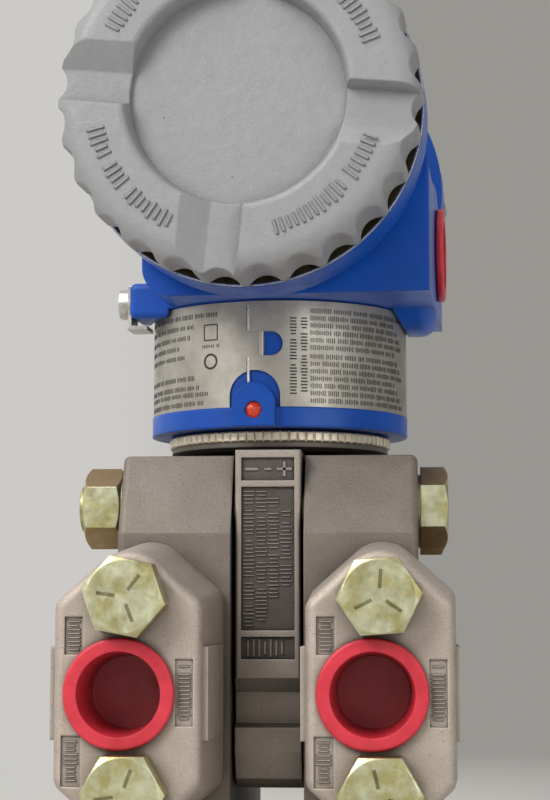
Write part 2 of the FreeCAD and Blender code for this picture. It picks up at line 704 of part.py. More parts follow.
def dish_outline():
    """Half section of the dished flange under the knurled ring."""
    sketch = doc.addObject("Sketcher::SketchObject", "body_dish_outline")
    draw_polygon(sketch, [
        ("0", "dish_top - dish_drop"), ("dish_radius * 0.55", "dish_top - dish_drop"),
        ("dish_radius * 0.8", "dish_top - dish_drop * 0.83"),
        ("dish_radius * 0.95", "dish_top - (dish_drop + dish_edge) / 2"),
        ("dish_radius", "dish_top - dish_edge"), ("dish_radius", "dish_top"),
        ("0", "dish_top"),
    ])
    place(sketch, ORIGIN, Rotation(Vector(1, 0, 0), 90))
    return sketch


def make_knurled_ring():
    """Zinc plated ring with fine upright serrations round its rim."""
    ring = Piece("knurled_ring", ("0", "0", "dish_top"))
    inner = "spigot_radius + bolt_play"
    ring.revolve(ring.polygon("XZ", [
        (inner, "0"), ("ring_radius - 0.4", "0"), ("ring_radius", "0.4"),
        ("ring_radius", "ring_height - 0.4"), ("ring_radius - 0.4", "ring_height"),
        (inner, "ring_height"),
    ]))
    half = "(3.1416 * ring_radius / ring_teeth * 0.8)"
    notch = ring.polygon("XY", [
        ("ring_radius - ring_tooth", "0"), ("ring_radius + 1", "-" + half),
        ("ring_radius + 1", half),
    ], "ring_height")
    tooth = ring.pocket(notch, "ring_height")
    ring.polar([tooth], (notch, ["N_Axis"]), "ring_teeth")


def make_process_cover(name, turn):
    """One process cover, modelled on the right; turned half round for the left."""
    cover = Piece(name, ORIGIN, turn)
    front, top = "cover_depth / 2", "cover_height / 2"
    fold, crest = "cover_flat / 2", "cover_top_depth / 2"
    cover.pad(cover.polygon("YZ", [
        ("-" + front, "-" + fold), ("-" + crest, "-" + top), (crest, "-" + top),
        (front, "-" + fold), (front, fold), (crest, top), ("-" + crest, top),
        ("-" + front, fold),
    ], COVER_FACE), "cover_thick")
    cover.round_edges("cover_round", lambda edge: near(edge.BoundBox.XMin, COVER_OUTSIDE)
                      and near(edge.BoundBox.XMax, COVER_OUTSIDE))
    band = "port_boss_height / 2"
    cover.pad(cover.polygon("XZ", [
        ("(%s) - 2" % COVER_OUTSIDE, "-(%s) - port_boss_proud * 0.5" % band),
        (COVER_OUTSIDE, "-(%s) - port_boss_proud * 0.5" % band),
        ("(%s) + port_boss_proud" % COVER_OUTSIDE, "-(%s) + 2" % band),
        ("(%s) + port_boss_proud" % COVER_OUTSIDE, "%s - 2" % band),
        (COVER_OUTSIDE, "%s + port_boss_proud * 0.5" % band),
        ("(%s) - 2" % COVER_OUTSIDE, "%s + port_boss_proud * 0.5" % band),
    ]), "cover_depth", Midplane=True)

    def along_x(radius, length, offset, y="0", z="0"):
        cover.pocket(cover.circle("YZ", y, z, radius, offset), length, Reversed=True)

    along_x("chamber_radius", "chamber_depth", COVER_FACE)
    gasket = cover.sketch("YZ", COVER_FACE)
    draw_circle(gasket, "0", "0", "gasket_outer + gasket_play")
    draw_circle(gasket, "0", "0", "gasket_inner - gasket_play")
    cover.pocket(gasket, "gasket_thick", Reversed=True)
    along_x("passage_radius", "%s - (%s)" % (PORT_X, COVER_FACE), COVER_FACE)
    for row in (-1, 1):
        for tier in (-1, 1):
            along_x("bolt_radius + bolt_play", "cover_thick + port_boss_proud + 2",
                    "(%s) - 1" % COVER_FACE, "%d * cover_bolt_rows / 2" % row,
                    "%d * cover_bolt_tiers / 2" % tier)

    def from_front(radius, length, z="0"):
        cover.pocket(cover.circle("XZ", PORT_X, z, radius, front), length)

    def from_rear(radius, length, z="0"):
        cover.pocket(cover.circle("XZ", PORT_X, z, radius, "-(%s)" % front), length,
                     Reversed=True)

    from_front("passage_radius", "cover_depth")
    from_front("seal_outer + seal_play", "seal_thick")
    from_rear("vent_thread + thread_play", "vent_depth + tip_room")
    for tier in ("bolt_spacing / 2", "-bolt_spacing / 2"):
        from_front("bolt_radius + thread_play", "tapped_depth", tier)
        from_rear("tapped_radius", "tapped_depth", tier)


def make_side_discs():
    """Diaphragm and gasket on each side of the body."""
    for name, side, turn in (("low", "-", LEFTWARD), ("high", "", RIGHTWARD)):
        at = ("%s(%s)" % (side, COVER_FACE), "0", "0")
        low, high = "diaphragm_thick", "diaphragm_thick + diaphragm_wave"
        points = [("0", "0"), ("diaphragm_radius", "0"), ("diaphragm_radius", low)]
        for share in (0.86, 0.62, 0.38):
            points += [("diaphragm_radius * %.2f" % share, low),
                       ("diaphragm_radius * %.2f" % (share - 0.06), high),
                       ("diaphragm_radius * %.2f" % (share - 0.12), low)]
        turned(name + "_diaphragm", points + [("0", low)], at, turn)
        turned(name + "_cover_gasket", [
            ("gasket_inner", "0"), ("gasket_outer", "0"), ("gasket_outer", "gasket_thick"),
            ("gasket_inner", "gasket_thick"),
        ], at, turn)


def make_cover_bolts():
    """Four bolts through both process covers, heads right, nuts left."""
    number = 0
    length = "2 * (%s) + washer_face + nut_height + stud_end" % COVER_OUTSIDE
    for tier in (1, -1):
        for row in (-1, 1):
            number += 1
            y = "%d * cover_bolt_rows / 2" % row
            z = "%d * cover_bolt_tiers / 2" % tier
            hex_bolt("cover_bolt_%d" % number, "cover_bolt_flats", "cover_head", length,
                     (COVER_OUTSIDE, y, z), RIGHTWARD, face="washer_face")
            make_cover_nut("cover_nut_%d" % number, ("-(%s)" % COVER_OUTSIDE, y, z))


def make_cover_nut(name, at):
    """A hexagon nut with a thin round face against the cover."""
    body = hexagon(name, "cover_bolt_flats", "nut_height", both_ends=True)
    place(body, ("0", "0", "washer_face"))
    blank = fused(name + "_blank_whole", [
        body, cylinder(name + "_face", "cover_bolt_flats * 0.47", "washer_face")])
    hole = cylinder(name + "_hole", "bolt_radius + thread_play",
                    "nut_height + washer_face + 2", ("0", "0", "-1"))
    finish(cut(name, blank, hole), name, at, LEFTWARD)


def make_connector(name, side):
    """Cast process connector: long hexagon with drafted sides, eccentric port."""
    part = Piece(name, ("%s * port_spacing / 2" % side, "0", "0"))

    def outline(wide, tall):
        half = "(connector_width / 2 + %s)" % wide
        shoulder = "(connector_shoulder / 2 + %s * 0.8)" % tall
        apex = "(connector_shoulder / 2 + connector_rise + %s)" % tall
        return [(half, "-" + shoulder), (half, shoulder), ("0", apex),
                ("-" + half, shoulder), ("-" + half, "-" + shoulder), ("0", "-" + apex)]

    back = part.polygon("XZ", outline("draft_side", "draft_end"), CONNECTOR_BACK)
    front = part.polygon("XZ", outline("0", "0"), CONNECTOR_FRONT)
    part.add("AdditiveLoft", back, Sections=[front], Ruled=True)
    part.round_edges("apex_round", lambda edge: runs_deep(edge) and edge_x(edge) < 1)
    part.round_edges("shoulder_round", lambda edge: runs_deep(edge)
                     and edge_x(edge) > value("connector_width / 2") - 0.5)
    part.round_edges("face_round", lambda edge: near(edge.BoundBox.YMax,
                     "-(%s)" % CONNECTOR_FRONT) and near(edge.BoundBox.YMin,
                     "-(%s)" % CONNECTOR_FRONT))
    width = "connector_width / 2 + side_pad_proud + draft_side * 0.5"
    tall = "side_pad_height / 2"
    part.pad(part.polygon("XZ", [
        ("-(%s)" % width, "-" + tall), (width, "-" + tall), (width, tall),
        ("-(%s)" % width, tall),
    ], CONNECTOR_BACK + " + 2"), "connector_depth - 5")

    def from_front(radius, length, x="0", z="0"):
        part.pocket(part.circle("XZ", x, z, radius, CONNECTOR_FRONT), length)

    from_front("port_radius", "port_depth", "-port_offset")
    from_front("seal_inner", "connector_depth + 1")
    for tier in ("bolt_spacing / 2", "-bolt_spacing / 2"):
        from_front("bolt_radius + bolt_play", "connector_depth + 1", "0", tier)
    for mark, side_sign in (("mark_high", "-"), ("mark_low", "-"), ("mark_right", "")):
        outer = "%s(connector_width / 2 - %s_edge)" % (side_sign, mark)
        inner = "%s(connector_width / 2 - %s_edge - %s_width)" % (side_sign, mark, mark)
        part.pocket(part.polygon("XZ", [
            (outer, mark + "_foot"), (inner, mark + "_foot"), (inner, mark + "_top"),
            (outer, mark + "_top"),
        ], CONNECTOR_FRONT), "mark_depth")


def runs_deep(edge):
    """True for an edge that runs from a connector's back to its front."""
    return edge.BoundBox.YLength > value("connector_depth / 2")


def edge_x(edge):
    """How far an edge's middle is from the plane x = 0."""
    middle = edge.valueAt((edge.FirstParameter + edge.LastParameter) / 2)
    return abs(middle.x)


def make_connectors():
    """Connectors with their ring seals and bolts."""
    head_turns = iter((-11, 0, 4, 0))
    number = 0
    for name, side in (("low", "-1"), ("high", "1")):
        make_connector(name + "_connector", side)
        x = "%s * port_spacing / 2" % side
        turned(name + "_connector_seal", [
            ("seal_inner", "0"), ("seal_outer", "0"), ("seal_outer", "seal_thick"),
            ("seal_inner", "seal_thick"),
        ], (x, "-(%s) + seal_thick" % CONNECTOR_BACK, "0"), FORWARD)
        for tier in (1, -1):
            number += 1
            spin = Rotation(Vector(0, 0, 1), next(head_turns))
            hex_bolt("connector_bolt_%d" % number, "connector_flats", "connector_head",
                     "connector_depth + tapped_depth - tip_room",
                     (x, "-(%s)" % CONNECTOR_FRONT, "%d * bolt_spacing / 2" % tier),
                     FORWARD.multiply(spin))


def make_vents():
    """Hexagon vent plugs in the rear ports, each with its vent screw."""
    for name, side in (("low", "-"), ("high", "")):
        x = "%sport_spacing / 2" % side
        plug = fused(name + "_vent_plug_blank", [
            hexagon(name + "_vent_plug", "vent_flats", "vent_head"),
            cylinder(name + "_vent_plug_thread", "vent_thread", "vent_depth",
                     ("0", "0", "-vent_depth")),
        ])
        hole = cylinder(name + "_vent_plug_hole", "vent_screw_radius + vent_screw_play",
                        "vent_depth + vent_head + 2", ("0", "0", "-vent_depth - 1"))
        at = (x, "cover_depth / 2", "0")
        finish(cut(name + "_vent_plug", plug, hole), name + "_vent_plug", at, REARWARD)
        top = hexagon(name + "_vent_screw", "vent_screw_flats", "vent_screw_head")
        place(top, ("0", "0", "vent_screw_out"))
        stem = cylinder(name + "_vent_screw_stem", "vent_screw_radius",
                        "vent_depth + vent_head + vent_screw_out - 3",
                        ("0", "0", "-vent_depth - vent_head + 3"))
        finish(fused(name + "_vent_screw", [top, stem]), name + "_vent_screw",
               (x, "cover_depth / 2 + vent_head", "0"), REARWARD)


def make_shipping_plug(name, at, turn):
    """Cup-shaped plastic plug: flange outside, tapered hollow body inside the port."""
    plug = turned(name, [
        ("0", "-plug_length"), ("plug_body - plug_taper", "-plug_length"),
        ("plug_body", "0"), ("plug_flange", "0"), ("plug_flange", "plug_lip"),
        ("plug_mouth", "plug_lip"), ("plug_waist", "-plug_length + plug_floor"),
        ("0", "-plug_length + plug_floor"),
    ], at, turn)
    plug.round_edges("plug_round", lambda edge: is_circle(edge)
                     and near(edge.Curve.Radius, "plug_flange"))


# ---------------------------------------------------------------------------------------
# Housing
# ---------------------------------------------------------------------------------------

def make_housing():
    """One casting: neck, block, barrel with two collars, conduit hub, boss and lug."""
    block_depth = "block_front + block_back"
    neck = cylinder("housing_neck", "neck_radius", "block_bottom - housing_foot + 12",
                    ("0", "0", "housing_foot"))
    foot = cylinder("housing_foot_ring", "foot_radius", "foot_height",
                    ("0", "0", "housing_foot"))
    block = box("housing_block", "block_left + block_right", block_depth,
                "barrel_height - block_bottom",
                ("-block_left", "-block_front", "block_bottom"))
    block = rounded("housing_block_soft", block, "block_round",
                    lambda edge: runs_along(edge, 1)
                    and near(edge.BoundBox.XMin, "-block_left")
                    and near(edge.BoundBox.ZMin, "block_bottom"))
    block = rounded("housing_block_soft_top", block, "block_round * 1.5",
                    lambda edge: runs_along(edge, 1)
                    and near(edge.BoundBox.XMax, "block_right")
                    and near(edge.BoundBox.ZMax, "barrel_height"))
    block = rounded("housing_block_soft_back", block, "block_round",
                    lambda edge: near(edge.BoundBox.YMin, "block_back")
                    and near(edge.BoundBox.YMax, "block_back"))
    barrel = cylinder("housing_barrel", "barrel_radius", "barrel_front + barrel_rear",
                      ("0", "-barrel_front", "barrel_height"), REARWARD)
    collars = [
        housing_collar("front", "-barrel_front", REARWARD),
        housing_collar("rear", "barrel_rear", FORWARD),
    ]
    hub = cylinder("housing_hub", "conduit_hub", "block_right - conduit_reach",
                   ("conduit_reach", "-conduit_back", "conduit_height"), RIGHTWARD)
    hub = rounded("housing_hub_soft", hub, "hub_round", lambda edge: is_circle(edge)
                  and near(edge.BoundBox.XMin, "block_right"))
    lug = box("housing_lug", "lug_left - 20", "lug_depth", "lug_height",
              ("-lug_left", "-lug_front", "lug_bottom"))
    lug = rounded("housing_lug_soft", lug, "lug_round", lambda edge: near(edge.BoundBox.XMax,
                  "-lug_left") or runs_along(edge, 0))
    blank = fused("housing_blank",
                  [neck, foot, block, barrel] + collars + [hub, lug] + lock_boss())
    made = cut("housing_made", blank, fused("housing_tools", housing_tools()))
    return finish(made, "housing")


def housing_collar(name, start, turn):
    """Thicker end of the barrel, eased into it by a cone."""
    ring = cylinder("housing_collar_" + name, "collar_radius", "collar_length",
                    ("0", start, "barrel_height"), turn)
    sign = "+" if name == "front" else "-"
    ease = cone("housing_ease_" + name, "collar_radius", "barrel_radius",
                "(collar_radius - barrel_radius) * 1.4",
                ("0", "%s %s collar_length" % (start, sign), "barrel_height"), turn)
    return fused("housing_end_" + name, [ring, ease])


def lock_boss():
    """Arched boss on the front of the neck for the lock screw."""
    deep = "boss_front - neck_radius + 5"
    base = box("housing_boss_base", "boss_width", deep, "boss_height - boss_width / 2",
               ("-boss_left - boss_width / 2", "-boss_front", "housing_foot"))
    arch = cylinder("housing_boss_arch", "boss_width / 2", deep,
                    ("-boss_left", "-boss_front", "housing_foot + boss_height - boss_width / 2"),
                    REARWARD)
    return [base, arch]


def housing_tools():
    """Everything that is bored or cored out of the housing."""
    room = "room_radius"
    front_wall, rear_wall = "-bulkhead_front", "-bulkhead_front + bulkhead_thick"
    tools = [
        cylinder("bore_swivel", "spigot_radius + swivel_play", "bore_ceiling - housing_foot + 1",
                 ("0", "0", "housing_foot - 1")),
        cylinder("bore_lead_room", "lead_room_radius", "lead_room_height",
                 ("0", "0", "bore_ceiling - 0.01")),
        cylinder("bore_lead", "lead_hole",
                 "barrel_height - room_radius / 2 - bore_ceiling - lead_room_height",
                 ("0", "-lead_hole_back", "bore_ceiling + lead_room_height - 1")),
        cylinder("bore_front_room", room, "barrel_front - bulkhead_front + 1",
                 ("0", "-barrel_front - 1", "barrel_height"), REARWARD),
        cylinder("bore_rear_room", room, "barrel_rear + bulkhead_front - bulkhead_thick + 1",
                 ("0", "barrel_rear + 1", "barrel_height"), FORWARD),
        cylinder("bore_conduit", "port_radius", "block_right",
                 ("block_right - port_depth", "-conduit_back", "conduit_height"), RIGHTWARD),
        cut("plate_space",
            cylinder("plate_space_outside", "neck_radius + plate_gap + 2 * plate_thick + 0.4",
                     "plate_room", ("0", "0", "block_bottom - plate_room")),
            cylinder("plate_space_neck", "neck_radius", "plate_room",
                     ("0", "0", "block_bottom - plate_room"))),
        cylinder("bore_lock", "lock_radius + thread_play", "boss_front",
                 ("-boss_left", "-boss_front - 1", "housing_foot + lock_up"), REARWARD),
        cylinder("bore_ground", "ground_radius + thread_play", "ground_length + 1",
                 ("-lug_left - 1", "-lug_front + lug_depth / 2", "lug_bottom + lug_height / 2"),
                 RIGHTWARD),
    ]
    for name, start, turn in (("front", "-barrel_front - 1", REARWARD),
                              ("rear", "barrel_rear + 1", FORWARD)):
        at = ("0", start, "barrel_height")
        tools.append(cylinder("bore_thread_" + name, "thread_radius", "thread_length + 1",
                              at, turn))
        tools.append(cylinder("bore_seal_" + name, "seal_mouth", "seal_mouth_depth + 1",
                              at, turn))
    for side in (-1, 1):
        tools.append(cylinder("bore_module_screw_%d" % (2 + side), "small_screw + small_play",
                              "small_bite + 0.6",
                              ("%d * module_screws / 2" % side, front_wall, "barrel_height"),
                              REARWARD))
        tools.append(cylinder("bore_block_screw_%d" % (2 + side), "small_screw + small_play",
                              "small_bite + 0.6",
                              ("0", rear_wall, "barrel_height + %d * block_screws / 2" % side),
                              FORWARD))
    return tools


def slot_tool(name, centre, width, height, at_y, at_z):
    """A flat slot with round ends, cut from the front through the plate."""
    half = "(%s - %s) / 2" % (width, height)
    ends = [cylinder("%s_end_%d" % (name, 2 + side), "%s / 2" % height, "9",
                     ("%s + %d * %s" % (centre, side, half), at_y, at_z), REARWARD)
            for side in (-1, 1)]
    middle = box(name + "_middle", "2 * " + half, "9", height,
                 ("%s - %s" % (centre, half), at_y, "%s - %s / 2" % (at_z, height)))
    return fused(name, ends + [middle])


def make_data_plate():
    """Stainless sheet wrapped round the neck, its end lapped over, slotted and hooked."""
    low = "housing_foot + foot_height"
    inner = "(neck_radius + plate_gap)"
    outer = "(%s + plate_thick)" % inner
    front = "-neck_radius - 5"
    slot_z = "%s + plate_slot_up" % low
    slot_x = "-plate_slot_left"
    leaf = cut("plate_leaf",
               cylinder("plate_outside", outer, "plate_height", ("0", "0", low)),
               box("plate_window", "plate_slot_width / 2 + plate_tongue - plate_slot_left",
                   "9", "plate_slot_height",
                   ("-plate_tongue", front, "%s - plate_slot_height / 2" % slot_z)))
    lap = shared("plate_lap", [
        cylinder("plate_lap_round", "%s + plate_thick / 2" % outer, "plate_height",
                 ("0", "-plate_thick / 2", low)),
        box("plate_lap_side", "2 * neck_radius", "2 * neck_radius + 20", "plate_height",
            ("-plate_end", "-neck_radius - 10", low)),
    ])
    lap = cut("plate_lap_slotted", lap, slot_tool("plate_slot", slot_x, "plate_slot_width",
                                                  "plate_slot_height", front, slot_z))
    hook = cylinder("plate_hook", "plate_thick * 1.6", "plate_slot_height",
                    ("-plate_tongue - plate_thick * 1.6", "-%s" % outer,
                     "%s - plate_slot_height / 2" % slot_z))
    lap = cut("plate_lap_clear", lap, cylinder("plate_lap_core", "%s - 0.01" % outer,
                                               "plate_height", ("0", "0", low)))
    hollow = [
        cylinder("plate_inside", inner, "plate_height + 2", ("0", "0", low + " - 1")),
        box("plate_arch_base", "plate_arch_width", "9",
            "plate_arch_height - plate_arch_width / 2 + 1",
            ("-boss_left - plate_arch_width / 2", front, low + " - 1")),
        cylinder("plate_arch", "plate_arch_width / 2", "9",
                 ("-boss_left", front, "%s + plate_arch_height - plate_arch_width / 2" % low),
                 REARWARD),
    ]
    whole = fused("plate_whole", [leaf, lap, hook])
    finish(cut("data_plate", whole, fused("plate_tools", hollow)), "data_plate")


def make_neck_fittings():
    """Lock screw, ground screw and clamp, swivel seal, header and sensor lead."""
    finish(cut("lock_screw",
               cylinder("lock_screw_blank", "lock_radius", "lock_length",
                        ("0", "0", "-lock_length")),
               prism("lock_screw_socket", "lock_radius", "1.6", ("0", "0", "-1.5"))),
           "lock_screw",
           ("-boss_left", "-boss_front + lock_sunk", "housing_foot + lock_up"), FORWARD)
    ground = ("-lug_left - clamp_thick", "-lug_front + lug_depth / 2",
              "lug_bottom + lug_height / 2")
    small_screw("ground_screw", "ground_length", ground, LEFTWARD, "ground_radius",
                "ground_head", "ground_head_thick")
    make_ground_clamp()
    finish(torus("neck_seal", "spigot_radius - neck_seal_wire - 0.02", "neck_seal_wire"),
           "neck_seal", ("0", "0", "dish_top + neck_seal_up"))
    turned("sensor_header", [
        ("0", "0"), ("sensor_bore - 0.1", "0"), ("sensor_bore - 0.1", "header_thick"),
        ("header_button", "header_thick"), ("header_button - 1", "header_thick + header_step"),
        ("0", "header_thick + header_step"),
    ], ("0", "0", "dish_top + spigot_height - sensor_bore_depth"))


def make_ground_clamp():
    """Bent strip under the ground screw's head, with a turned-in foot."""
    blank = extruded("clamp_strip", [
        ("0", "clamp_rise"), ("-clamp_thick", "clamp_rise"), ("-clamp_thick", "-clamp_drop"),
        ("clamp_foot", "-clamp_drop"), ("clamp_foot", "-clamp_drop + clamp_thick"),
        ("0", "-clamp_drop + clamp_thick"),
    ], "clamp_width", ("-lug_left", "-lug_front + (lug_depth + clamp_width) / 2",
                       "lug_bottom + lug_height / 2"), FORWARD)
    hole = cylinder("clamp_hole", "ground_radius + bolt_play", "clamp_thick + 2",
                    ("-lug_left - clamp_thick - 1", "-lug_front + lug_depth / 2",
                     "lug_bottom + lug_height / 2"), RIGHTWARD)
    finish(cut("ground_clamp", blank, hole), "ground_clamp")


def make_lid(name, at, turn):
    """Housing cover: lobed rim, raised ring with four wrench slots, threaded skirt."""
    lid = Piece(name, at, turn)
    centre = "lid_thick - lid_sunk"
    lid.revolve(lid.polygon("XZ", [
        ("0", "%s - lid_face" % centre), ("lid_cavity", "%s - lid_face" % centre),
        ("lid_cavity", "-lid_skirt_length"), ("lid_skirt - 1", "-lid_skirt_length"),
        ("lid_skirt", "-lid_skirt_length + 1"), ("lid_skirt", "0"), ("lid_shoulder", "0"),
        ("lid_shoulder", "lid_gap"), ("lid_radius - 1", "lid_gap"),
        ("lid_radius", "lid_gap + 1"), ("lid_radius", "lid_thick"),
        ("lid_centre + lid_flare", "lid_thick"), ("lid_centre", centre), ("0", centre),
    ]))
    lid.round_edges("lid_brow", lambda edge: is_circle(edge)
                    and near(edge.Curve.Radius, "lid_radius")
                    and near(edge.BoundBox.ZMax, "lid_thick"))
    lid.round_edges("lid_ease", lambda edge: is_circle(edge)
                    and near(edge.BoundBox.ZMax, "lid_thick"))
    scallop = lid.circle("XY", "scallop_at", "0", "scallop_radius", "lid_thick")
    scoop = lid.pocket(scallop, "lid_thick")
    lid.polar([scoop], (scallop, ["N_Axis"]), "lid_lobes")
    lid.round_edges("lobe_round", lambda edge: runs_along(edge, 2)
                    and hypot(edge.Vertexes[0].X, edge.Vertexes[0].Y) > value("lid_radius") - 0.01)
    half = "slot_width / 2"
    floor = "lid_thick - slot_depth"
    profile = lid.polygon("YZ", [
        ("-(%s) - slot_ramp" % half, "lid_thick + 0.01"), ("-(%s)" % half, floor),
        (half, floor), ("%s + slot_steep" % half, "lid_thick + 0.01"),
    ], "lid_centre - 1")
    slot = lid.pocket(profile, "lid_radius - lid_centre + 4", Reversed=True)
    lid.polar([slot], (scallop, ["N_Axis"]), "4")


def make_lids():
    """Both housing covers and their O-rings."""
    for name, reach, turn in (("front", "-barrel_front", FORWARD),
                              ("rear", "barrel_rear", REARWARD)):
        clock = Rotation(Vector(0, 0, 1), value("lid_clock"))
        make_lid(name + "_cover", ("0", reach, "barrel_height"), turn.multiply(clock))
        inward = "+" if name == "front" else "-"
        finish(torus(name + "_cover_seal", "lid_skirt + ring_wire + ring_fit", "ring_wire"),
               name + "_cover_seal",
               ("0", "%s %s (ring_wire + ring_sunk)" % (reach, inward), "barrel_height"),
               turn)


def make_module():
    """Round electronics module with its two screws and the sensor lead."""
    module = turned("electronics_module", [
        ("0", "0"), ("room_radius - inner_play", "0"),
        ("room_radius - inner_play", "module_depth - 1.5"),
        ("room_radius - inner_play - 1.5", "module_depth"), ("0", "module_depth"),
    ], ("0", "-bulkhead_front", "barrel_height"), FORWARD)
    module.pocket(module.polygon("XY", [
        ("-socket_width / 2", "-socket_drop - socket_height"),
        ("socket_width / 2", "-socket_drop - socket_height"),
        ("socket_width / 2", "-socket_drop"), ("-socket_width / 2", "-socket_drop"),
    ], "module_depth"), "socket_depth")
    for side in ("-", ""):
        hole = "%smodule_screws / 2" % side
        module.pocket(module.circle("XY", hole, "0", "small_screw + small_play",
                                    "module_depth"), "module_depth + 1")
        module.pocket(module.circle("XY", hole, "0", "small_head + 0.4", "module_depth"),
                      "small_head_thick")
    module.pocket(module.polygon("XY", [
        ("-lead_hole - 1", "-room_radius"), ("lead_hole + 1", "-room_radius"),
        ("lead_hole + 1", "-room_radius + 9"), ("-lead_hole - 1", "-room_radius + 9"),
    ], "module_depth * 0.5"), "module_depth")
    for number, side in ((1, "-"), (2, "")):
        small_screw("module_screw_%d" % number,
                    "module_depth - small_head_thick + small_bite",
                    ("%smodule_screws / 2" % side,
                     "-bulkhead_front - module_depth + small_head_thick", "barrel_height"),
                    FORWARD)


def make_terminals():
    """Terminal block on the rear of the bulkhead, with its screws."""
    wall = "-bulkhead_front + bulkhead_thick"
    block = turned("terminal_block", [
        ("0", "0"), ("room_radius - inner_play", "0"),
        ("room_radius - inner_play", "block_flange"),
        ("room_radius - block_edge", "block_flange"),
        ("room_radius - block_edge - 0.5", "block_depth"), ("0", "block_depth"),
    ], ("0", wall, "barrel_height"), REARWARD)
    for number, side in ((1, -1), (2, 1)):
        hole = "%d * block_screws / 2" % side
        block.pocket(block.circle("XY", "0", hole, "small_screw + small_play",
                                  "block_depth"), "block_depth + 1")
        block.pocket(block.circle("XY", "0", hole, "small_head + 0.4", "block_depth"),
                     "block_depth - block_seat")
        small_screw("block_screw_%d" % number, "block_seat + small_bite",
                    ("0", wall + " + block_seat", "barrel_height + %d * block_screws / 2" % side),
                    REARWARD)
    for number, column in ((1, -1), (2, 0), (3, 1)):
        x = "%d * terminal_pitch" % column
        block.pocket(block.circle("XY", x, "0", "terminal_well", "block_depth"),
                     "terminal_well_depth")
        block.pocket(block.circle("XY", x, "0", "small_screw + 0.5 + small_play",
                                  "block_depth - terminal_well_depth"), "terminal_screw + 1")
        small_screw("terminal_screw_%d" % number, "terminal_screw",
                    (x, "%s + block_depth - terminal_well_depth" % wall, "barrel_height"),
                    REARWARD, "small_screw + 0.5", "small_head + 0.9", "small_head_thick")


def make_sensor_lead():
    """Lead from the swivel axis up into the front compartment, with its plug."""
    low = "dish_top + spigot_height - sensor_bore_depth + header_thick + header_step + lead_gap"
    plug = cylinder("lead_plug", "lead_plug", "lead_plug_length", ("0", "0", low))
    rise = cylinder("lead_rise", "lead_radius", "bore_ceiling + lead_room_height / 2 - (%s)" % low,
                    ("0", "0", low))
    elbow = primitive("Sphere", "lead_elbow", ("0", "0", "bore_ceiling + lead_room_height / 2"),
                      UPRIGHT, {"Radius": "lead_radius"})
    run = cylinder("lead_run", "lead_radius", "lead_hole_back",
                   ("0", "0", "bore_ceiling + lead_room_height / 2"), FORWARD)
    knee = primitive("Sphere", "lead_knee",
                     ("0", "-lead_hole_back", "bore_ceiling + lead_room_height / 2"),
                     UPRIGHT, {"Radius": "lead_radius"})
    up = cylinder("lead_up", "lead_radius", "lead_rise",
                  ("0", "-lead_hole_back", "bore_ceiling + lead_room_height / 2"))
    finish(fused("sensor_lead", [plug, rise, elbow, run, knee, up]), "sensor_lead")


def check_document():
    """Stop if any object failed or any sub-part is not a sound solid."""
    doc.recompute()
    for thing in doc.Objects:
        if "Invalid" in thing.State or "Error" in thing.State:
            raise RuntimeError("%s failed: %s" % (thing.Name, thing.State))
    for piece in PIECES:
        shape = piece.Shape
        if shape.isNull() or not shape.isValid() or not shape.Solids:
            raise RuntimeError("%s has no valid solid" % piece.Label)


def export_parts():
    """Write each sub-part to parts/NODE.step."""
    os.makedirs("parts", exist_ok=True)
    for piece in PIECES:
        piece.Shape.exportStep("parts/%s.step" % piece.Label)
        print("%-24s %8.2f cm3  %d solid(s)" % (
            piece.Label, piece.Shape.Volume / 1000, len(piece.Shape.Solids)))


make_sensor_body()
make_knurled_ring()
make_process_cover("high_process_cover", UPRIGHT)
make_process_cover("low_process_cover", Rotation(Vector(0, 1, 0), 180))
make_side_discs()
make_cover_bolts()
make_connectors()
make_vents()
make_shipping_plug("low_port_plug", ("-port_spacing / 2 - port_offset",
                                     "-(%s)" % CONNECTOR_FRONT, "0"), FORWARD)
make_shipping_plug("high_port_plug", ("port_spacing / 2 - port_offset",
                                      "-(%s)" % CONNECTOR_FRONT, "0"), FORWARD)
make_housing()
make_shipping_plug("conduit_plug", ("block_right", "-conduit_back", "conduit_height"),
                   RIGHTWARD)
make_data_plate()
make_neck_fittings()
make_lids()
make_module()
make_terminals()
make_sensor_lead()
check_document()
export_parts()
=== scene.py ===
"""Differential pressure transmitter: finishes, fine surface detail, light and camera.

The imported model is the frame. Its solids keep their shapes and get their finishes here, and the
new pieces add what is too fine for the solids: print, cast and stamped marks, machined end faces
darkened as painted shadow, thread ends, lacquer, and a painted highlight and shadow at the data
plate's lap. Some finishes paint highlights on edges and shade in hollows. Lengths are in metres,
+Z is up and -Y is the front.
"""
import logging
import math
from collections.abc import Sequence
from dataclasses import dataclass
from enum import Enum

import bpy
import numpy as np
from mathutils import Matrix, Vector


